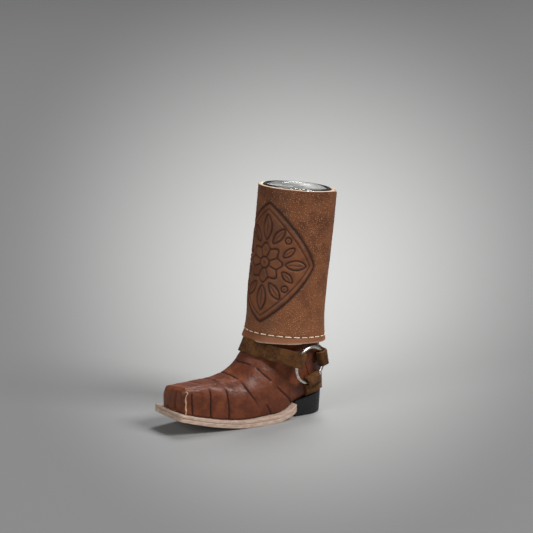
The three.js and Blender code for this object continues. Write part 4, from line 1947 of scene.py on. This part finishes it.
@dataclass
class Sole:
    """Welt, outsole and heel block."""

    sizes: BootSizes
    toe_width: float = 25.0
    ball_width: float = 33.2
    waist_width: float = 31.0
    toe_corner: float = 5.0
    waist_corner: float = 6.0
    edge_round: float = 0.3
    squeeze: float = 0.24
    tab_round: float = 1.3
    ragged: float = 0.05
    rag_size: float = 1.9
    heel_radius: float = 11.2
    heel_flare: float = 0.7
    heel_corner: float = 0.5
    heel_bevel: float = 0.35
    heel_grooves: tuple[float, float] = (0.28, 0.62)
    groove_depth: float = 0.1
    groove_width: float = 0.02

    def outline(self) -> tuple[Array, Array]:
        """Traces half the plan from toe to heel breast.

        Returns:
            Distances along y, rising, and the half width at each.
        """
        sizes = self.sizes
        toe, ball, waist = self.toe_width / 2, self.ball_width / 2, self.waist_width / 2
        toe_y = -sizes.toe_reach
        end_y = -sizes.breast_reach - sizes.glue_gap
        ball_y = -(sizes.ball_front + sizes.ball_back) / 2
        front_run = (ball_y - toe_y) * 0.3
        back_run = (end_y - ball_y) * 0.5
        near_toe = toe + (ball - toe) * 0.1
        handles = np.array([
            (toe - self.toe_corner, toe_y), (toe, toe_y), (toe, toe_y),
            (near_toe, toe_y + self.toe_corner), ((toe + ball) / 2, toe_y + front_run),
            (ball, ball_y - front_run),
            (ball, ball_y), (ball, ball_y + back_run), (waist, end_y - back_run),
            (waist, end_y - self.waist_corner), (waist, end_y), (waist, end_y),
            (waist - self.waist_corner, end_y),
        ])
        share = np.linspace(0, 1, 40)[:, None]
        line = np.concatenate([bezier(handles[start : start + 4], share) for start in range(0, 12, 3)])
        order = np.argsort(line[:, 1], kind="stable")
        return line[order, 1], line[order, 0]

    def layer(self, name: str, node: str, low: float, high: float, is_upper: bool, palette: Palette) -> None:
        """Builds one layer of the sole as a row of rounded sections.

        Args:
            name: Name of the piece.
            node: The solid that it replaces.
            low: Its underside, from the surface that the upper stands on.
            high: Its top.
            is_upper: Round the tab's top, not its underside.
            palette: Materials.
        """
        ys, halves = self.outline()
        length = ys[-1] - ys[0]
        stops = (0.0, 0.6, 3.4, length - 6.4, length - 0.5, length)
        rows, darkenings = [], []
        for run in spaced(stops, (14, 14, 90, 26, 10)):
            y = ys[0] + run
            half = float(np.interp(y, ys, halves))
            slim = 0.9 * round_over(self.edge_round, min(run, length - run))
            drop = round_over(self.tab_round, length - run)
            under = low + max(slim, 0 if is_upper else drop)
            over = high - max(slim, drop if is_upper else 0)
            row, darkening = self.section(half, under, over)
            row[:, 2] += self.sizes.sole_top(y)
            row[:, 1] = y
            rows.append(row)
            darkenings.append(darkening)
        points = np.concatenate(rows)
        lumps = rough(points * np.array([1, 1, 1.6]), self.rag_size)
        off_middle = np.abs(points[:, 0]) / np.abs(points[:, 0]).max()
        outward = np.sign(points[:, 0]) * smoothstep(off_middle, 0.3, 0.6)
        points[:, 0] += outward * lumps * self.ragged
        points[:, 1] -= lumps * self.ragged * (points[:, 1] < ys[0] + 0.9)
        faces = capped_faces(len(rows), len(rows[0]))
        piece = make_piece(name, points, faces, palette.sole, {"darkening": np.concatenate(darkenings)})
        sharpen(piece, 40)
        settle(piece, Body.BOOT, Slot.SOLE, node)

    def section(self, half: float, low: float, high: float) -> tuple[Array, Array]:
        """Traces a rounded rectangle across the sole.

        Args:
            half: Half its width.
            low: Height of its underside.
            high: Height of its top.

        Returns:
            Points with y at 0, and how much each is darkened, most along the underside.
        """
        radius = min(self.edge_round, (high - low) / 2 - 0.01)
        right, top, bottom = half - radius, high - radius, low + radius
        corner = 5
        ring = []
        for number, middle in enumerate(((right, top), (-right, top), (-right, bottom), (right, bottom))):
            ring += arc_points(middle, radius, np.linspace(90 * number, 90 * number + 90, corner))
        line = np.array(ring + ring[:1])
        run = run_along(line)
        flats = [
            np.linspace(run[corner * number - 1], run[corner * number], count)[1:-1]
            for number, count in ((1, 15), (2, 5), (3, 15), (4, 5))
        ]
        places = np.unique(np.round(np.concatenate([run[:-1], *flats]), 6))
        x = np.interp(places, run, line[:, 0])
        z = np.interp(places, run, line[:, 1])
        # Darker along the section's underside.
        darkening = 0.5 * (1 - smoothstep(np.abs(z - low), 0.0, 0.35))
        return np.column_stack([x, np.zeros_like(x), z]), darkening

    def heel_ring(self, level: float) -> Array:
        """Traces the heel's D-shaped plan at a share of its height.

        Args:
            level: Share of the height, 0 at the floor.

        Returns:
            Points as x and y.
        """
        bevel = self.heel_bevel * max(1 - level / 0.05, 0) ** 2
        cuts = [float(ridge(np.array(level - place), self.groove_width)) for place in self.heel_grooves]
        groove = self.groove_depth * sum(cuts)
        radius = self.heel_radius + self.heel_flare * level - bevel - groove
        front = -self.sizes.breast_reach + bevel + groove
        inset = radius - self.heel_corner
        turns = np.linspace(0.3, math.pi / 2, 4)
        breast = [(x, front) for x in np.linspace(-inset, inset, 15)]
        side = [
            (inset + self.heel_corner * math.sin(turn), front + self.heel_corner * (1 - math.cos(turn)))
            for turn in turns
        ]
        side += [(radius, y) for y in np.linspace(front + 1.2, -0.6, 8)]
        back = [(radius * math.cos(turn), radius * math.sin(turn)) for turn in np.linspace(0, math.pi, 49)]
        other_side = [(-x, y) for x, y in reversed(side)]
        return np.array(breast + side + back + other_side)

    def heel(self, palette: Palette) -> None:
        """Builds the heel block with its layers.

        Args:
            palette: Materials.
        """
        rows = []
        for level in (0.0, 0.02, 0.06, 0.12, *np.linspace(0.2, 0.94, 12), 0.98, 1.0):
            ring = self.heel_ring(level)
            rows.append(np.column_stack([ring, self.sizes.sole_top(ring[:, 1]) * level]))
        faces = capped_faces(len(rows), len(rows[0]))
        piece = make_piece("heel_stack", np.concatenate(rows), faces, palette.heel)
        sharpen(piece, 40)
        settle(piece, Body.BOOT, Slot.HEEL, "heel_block")

    def build(self, palette: Palette) -> None:
        """Builds both sole layers and the heel.

        Args:
            palette: Materials.
        """
        welt = self.sizes.welt
        under = -welt - self.sizes.glue_gap
        low = under - self.sizes.outsole
        self.layer("welt_layer", "welt", -welt, 0.0, True, palette)
        self.layer("outsole_layer", "outsole", low, under + self.squeeze, False, palette)
        self.heel(palette)


# Straps and rings


@dataclass
class Harness:
    """Three straps, each a softened copy of its solid, and the two rings that they hold."""

    nodes: dict[str, bpy.types.Object]
    joints: list[dict]
    edge_round: float = 0.32
    corner_angle: float = math.radians(55)
    longest_edge: float = 1.1
    merge: float = 0.002
    dent_size: float = 2.2
    dent_height: float = 0.07
    nap_size: float = 0.8
    nap_height: float = 0.03
    shift_limits: tuple[float, float] = (-0.12, 0.08)
    ring_bore: float = 15.9
    ring_wire: float = 1.7

    def strap(self, name: str, node: str, palette: Palette) -> None:
        """Rounds a strap's edges and gives it a worn, uneven surface.

        Args:
            name: Name of the piece.
            node: The solid that it copies and replaces.
            palette: Materials.
        """
        mesh = self.nodes[node].data.copy()
        mesh.materials.clear()
        piece = add_object(name, mesh)
        shape = bmesh.new()
        shape.from_mesh(mesh)
        bmesh.ops.remove_doubles(shape, verts=shape.verts, dist=self.merge * MM)
        corners = [
            edge for edge in shape.edges
            if len(edge.link_faces) == 2 and edge.calc_face_angle() > self.corner_angle
        ]
        bmesh.ops.bevel(
            shape, geom=corners, offset=self.edge_round * MM, segments=3, profile=0.5, affect="EDGES",
            clamp_overlap=True,
        )
        long_edges = [edge for edge in shape.edges if edge.calc_length() > self.longest_edge * MM]
        bmesh.ops.subdivide_edges(shape, edges=long_edges, cuts=2, use_grid_fill=True)
        bmesh.ops.triangulate(shape, faces=[face for face in shape.faces if len(face.verts) > 4])
        bmesh.ops.remove_doubles(shape, verts=shape.verts, dist=self.merge * MM)
        bmesh.ops.recalc_face_normals(shape, faces=shape.faces)
        shape.normal_update()
        places = np.array([vertex.co for vertex in shape.verts]) / MM
        dents = self.dent_height * rough(places, self.dent_size)
        shifts = np.clip(dents + self.nap_height * rough(places, self.nap_size, 2), *self.shift_limits)
        for vertex, shift in zip(list(shape.verts), shifts):
            vertex.co += vertex.normal * float(shift) * MM
        for face in shape.faces:
            face.smooth = True
        shape.to_mesh(mesh)
        shape.free()
        mesh.materials.append(palette.strap)
        settle(piece, Body.BOOT, Slot.STRAP, node)

    def ring(self, name: str, node: str, body: Body, palette: Palette) -> None:
        """Bends a wire into a ring with geometry nodes and sets it on its joint.

        Args:
            name: Name of the piece.
            node: The solid that it replaces.
            body: The body that turns.
            palette: Materials.
        """
        joint = next(joint for joint in self.joints if joint["child"] == body.value)
        piece = add_object(name, bpy.data.meshes.new(name))
        grow(piece, ring_tree(), {
            "Ring radius": (self.ring_bore + self.ring_wire) / 2 * MM,
            "Wire radius": self.ring_wire / 2 * MM,
            "Finish": palette.ring,
        })
        turn = Vector((0, 0, 1)).rotation_difference(Vector(joint["axis"])).to_matrix().to_4x4()
        piece.data.transform(Matrix.Translation(Vector(joint["pos_m"])) @ turn)
        settle(piece, body, Slot.RING, node)

    def build(self, palette: Palette) -> None:
        """Builds straps and rings.

        Args:
            palette: Materials.
        """
        for side in ("front", "rear", "under"):
            self.strap(f"strap_{side}", f"{side}_strap", palette)
        self.ring("ring_left", "left_ring", Body.LEFT_RING, palette)
        self.ring("ring_right", "right_ring", Body.RIGHT_RING, palette)


def ring_tree() -> bpy.types.NodeTree:
    """Builds the tree that sweeps a round wire along a circle.

    Returns:
        The tree.
    """
    graph, given, taken = geometry_tree("Wire ring", {
        "Ring radius": Socket.FLOAT, "Wire radius": Socket.FLOAT, "Finish": Socket.MATERIAL,
    })
    circle = "GeometryNodeCurvePrimitiveCircle"
    loop = graph.add(circle, {"Resolution": 112, "Radius": given["Ring radius"]})
    wire = graph.add(circle, {"Resolution": 28, "Radius": given["Wire radius"]})
    swept = graph.add("GeometryNodeCurveToMesh", {"Curve": loop.outputs[0], "Profile Curve": wire.outputs[0]})
    smooth = graph.add("GeometryNodeSetShadeSmooth", {"Geometry": swept.outputs[0]})
    real = graph.add("GeometryNodeRealizeInstances", {"Geometry": smooth.outputs[0]})
    dress = {"Geometry": real.outputs[0], "Material": given["Finish"]}
    graph.feed(taken["Geometry"], graph.add("GeometryNodeSetMaterial", dress).outputs[0])
    return graph.tree


# Studio


@dataclass(frozen=True)
class Lamp:
    """A square soft light: its name, its place and side in metres and its power in watts."""

    name: str
    place: tuple[float, float, float]
    side: float
    watts: float


@dataclass
class Studio:
    """Camera, floor and soft lights."""

    azimuth: float = math.radians(56.97)
    elevation: float = math.radians(12.38)
    distance: float = 1.058
    aim: tuple[float, float, float] = (0.0, 0.0, 0.060)
    focal_pixels: float = 2190.0
    image: int = 533
    aim_pixel: tuple[float, float] = (295.76, 289.54)
    floor_half: float = 12.0
    # Painted pool of light on the floor: pale middle round the boot, darker falloff away from it.
    floor_lit_middle: Colour = srgb(171, 171, 170)
    floor_shaded_edge: Colour = srgb(100, 100, 100)
    glow_back: float = 1.033
    glow_height: float = 0.287
    glow_middle: tuple[float, float, float] = (0.0, 0.21, 0.0)
    glow_reach: float = 0.15
    sky: float = 0.15
    lamps: tuple[Lamp, ...] = (
        Lamp("key", (2.5, 1.5, 2.8), 1.6, 185.0),
        Lamp("top", (-1.0, 1.5, 3.9), 1.6, 140.0),
        Lamp("fill", (1.2, -3.6, 1.7), 2.2, 88.0),
    )

    def camera(self) -> None:
        """Sets the camera at the photograph's angle."""
        data = bpy.data.cameras.new("camera")
        data.sensor_fit = "HORIZONTAL"
        data.sensor_width = 36.0
        data.lens = self.focal_pixels / self.image * data.sensor_width
        data.shift_x = (self.image / 2 - self.aim_pixel[0]) / self.image
        data.shift_y = (self.aim_pixel[1] - self.image / 2) / self.image
        data.clip_end = 50.0
        back = Vector((
            math.sin(self.azimuth) * math.cos(self.elevation),
            -math.cos(self.azimuth) * math.cos(self.elevation),
            math.sin(self.elevation),
        ))
        camera = add_object("camera", data)
        camera.location = Vector(self.aim) + back * self.distance
        camera.rotation_euler = back.to_track_quat("Z", "Y").to_euler()
        bpy.context.scene.camera = camera

    def floor(self) -> None:
        """Lays the pale floor, with a pool of light painted round the boot."""
        half = self.floor_half
        mesh = bpy.data.meshes.new("floor")
        corners = [(-half, -half, 0), (half, -half, 0), (half, half, 0), (-half, half, 0)]
        mesh.from_pydata(corners, [], [(0, 1, 2, 3)])
        mesh.materials.append(self.paper())
        add_object("floor", mesh)

    def paper(self) -> bpy.types.Material:
        """Builds the floor's material, a painted pool of light that darkens away from a pale middle which
        spreads backwards.

        Returns:
            The material.
        """
        material = bpy.data.materials.new("floor_paper")
        material.use_nodes = True
        graph = Graph(material.node_tree)
        place = graph.add("ShaderNodeTexCoord").outputs["Object"]
        turned = graph.add("ShaderNodeMapping", {"Vector": place, "Rotation": (0, 0, -self.azimuth)})
        parts = graph.add("ShaderNodeSeparateXYZ", {0: turned.outputs[0]})
        depth = graph.sums("ADD", parts.outputs[1], self.glow_back, clamp=False)
        across = graph.sums("DIVIDE", parts.outputs[0], depth, clamp=False)
        low = graph.sums("DIVIDE", self.glow_height, depth, clamp=False)
        spread = graph.add("ShaderNodeCombineXYZ", {0: across, 1: low}).outputs[0]
        away = graph.add("ShaderNodeVectorMath", {0: spread, 1: self.glow_middle}, operation="DISTANCE")
        shade = graph.between(away.outputs["Value"], 0.0, self.glow_reach, 0.0, 1.0)
        # Painted light: pale round the boot, darker away from it.
        colour = graph.mix(shade, self.floor_lit_middle, self.floor_shaded_edge)
        shader = graph.add("ShaderNodeBsdfPrincipled", {"Base Color": colour, "Roughness": 0.9})
        graph.add("ShaderNodeOutputMaterial", {"Surface": shader.outputs[0]})
        return material

    def light(self, lamp: Lamp) -> None:
        """Adds a soft light that faces the boot.

        Args:
            lamp: The light.
        """
        data = bpy.data.lights.new(lamp.name, "AREA")
        data.shape = "SQUARE"
        data.size = lamp.side
        data.energy = lamp.watts
        towards = Vector(lamp.place) - Vector(self.aim)
        light = add_object(lamp.name, data)
        light.location = lamp.place
        light.rotation_euler = towards.to_track_quat("Z", "Y").to_euler()

    def build(self) -> None:
        """Sets up camera, floor, lights and the view."""
        scene = bpy.context.scene
        scene.view_settings.view_transform = "Standard"
        self.camera()
        self.floor()
        world = bpy.data.worlds.new("studio")
        world.use_nodes = True
        graph = Graph(world.node_tree)
        sky = graph.add("ShaderNodeBackground", {"Color": (1.0, 1.0, 1.0, 1.0), "Strength": self.sky})
        graph.add("ShaderNodeOutputWorld", {"Surface": sky.outputs[0]})
        scene.world = world
        for lamp in self.lamps:
            self.light(lamp)


def main() -> None:
    """Builds the boot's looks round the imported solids."""
    logging.basicConfig(level=logging.INFO, format="%(message)s")
    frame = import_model()
    sizes = BootSizes()
    palette = Palette()
    Studio().build()
    Upper(sizes).build(palette)
    Shaft(sizes, Tooling()).build(palette)
    ShotGlass(sizes).build(palette)
    Sole(sizes).build(palette)
    Harness(frame["nodes"], frame["joints"]).build(palette)
    for node, material in (("foot_last", palette.last), ("insole", palette.board)):
        frame["nodes"][node].data.materials.clear()
        frame["nodes"][node].data.materials.append(material)
        log.info("%s: kept with its own finish", node)


if __name__ == "__main__":
    main()
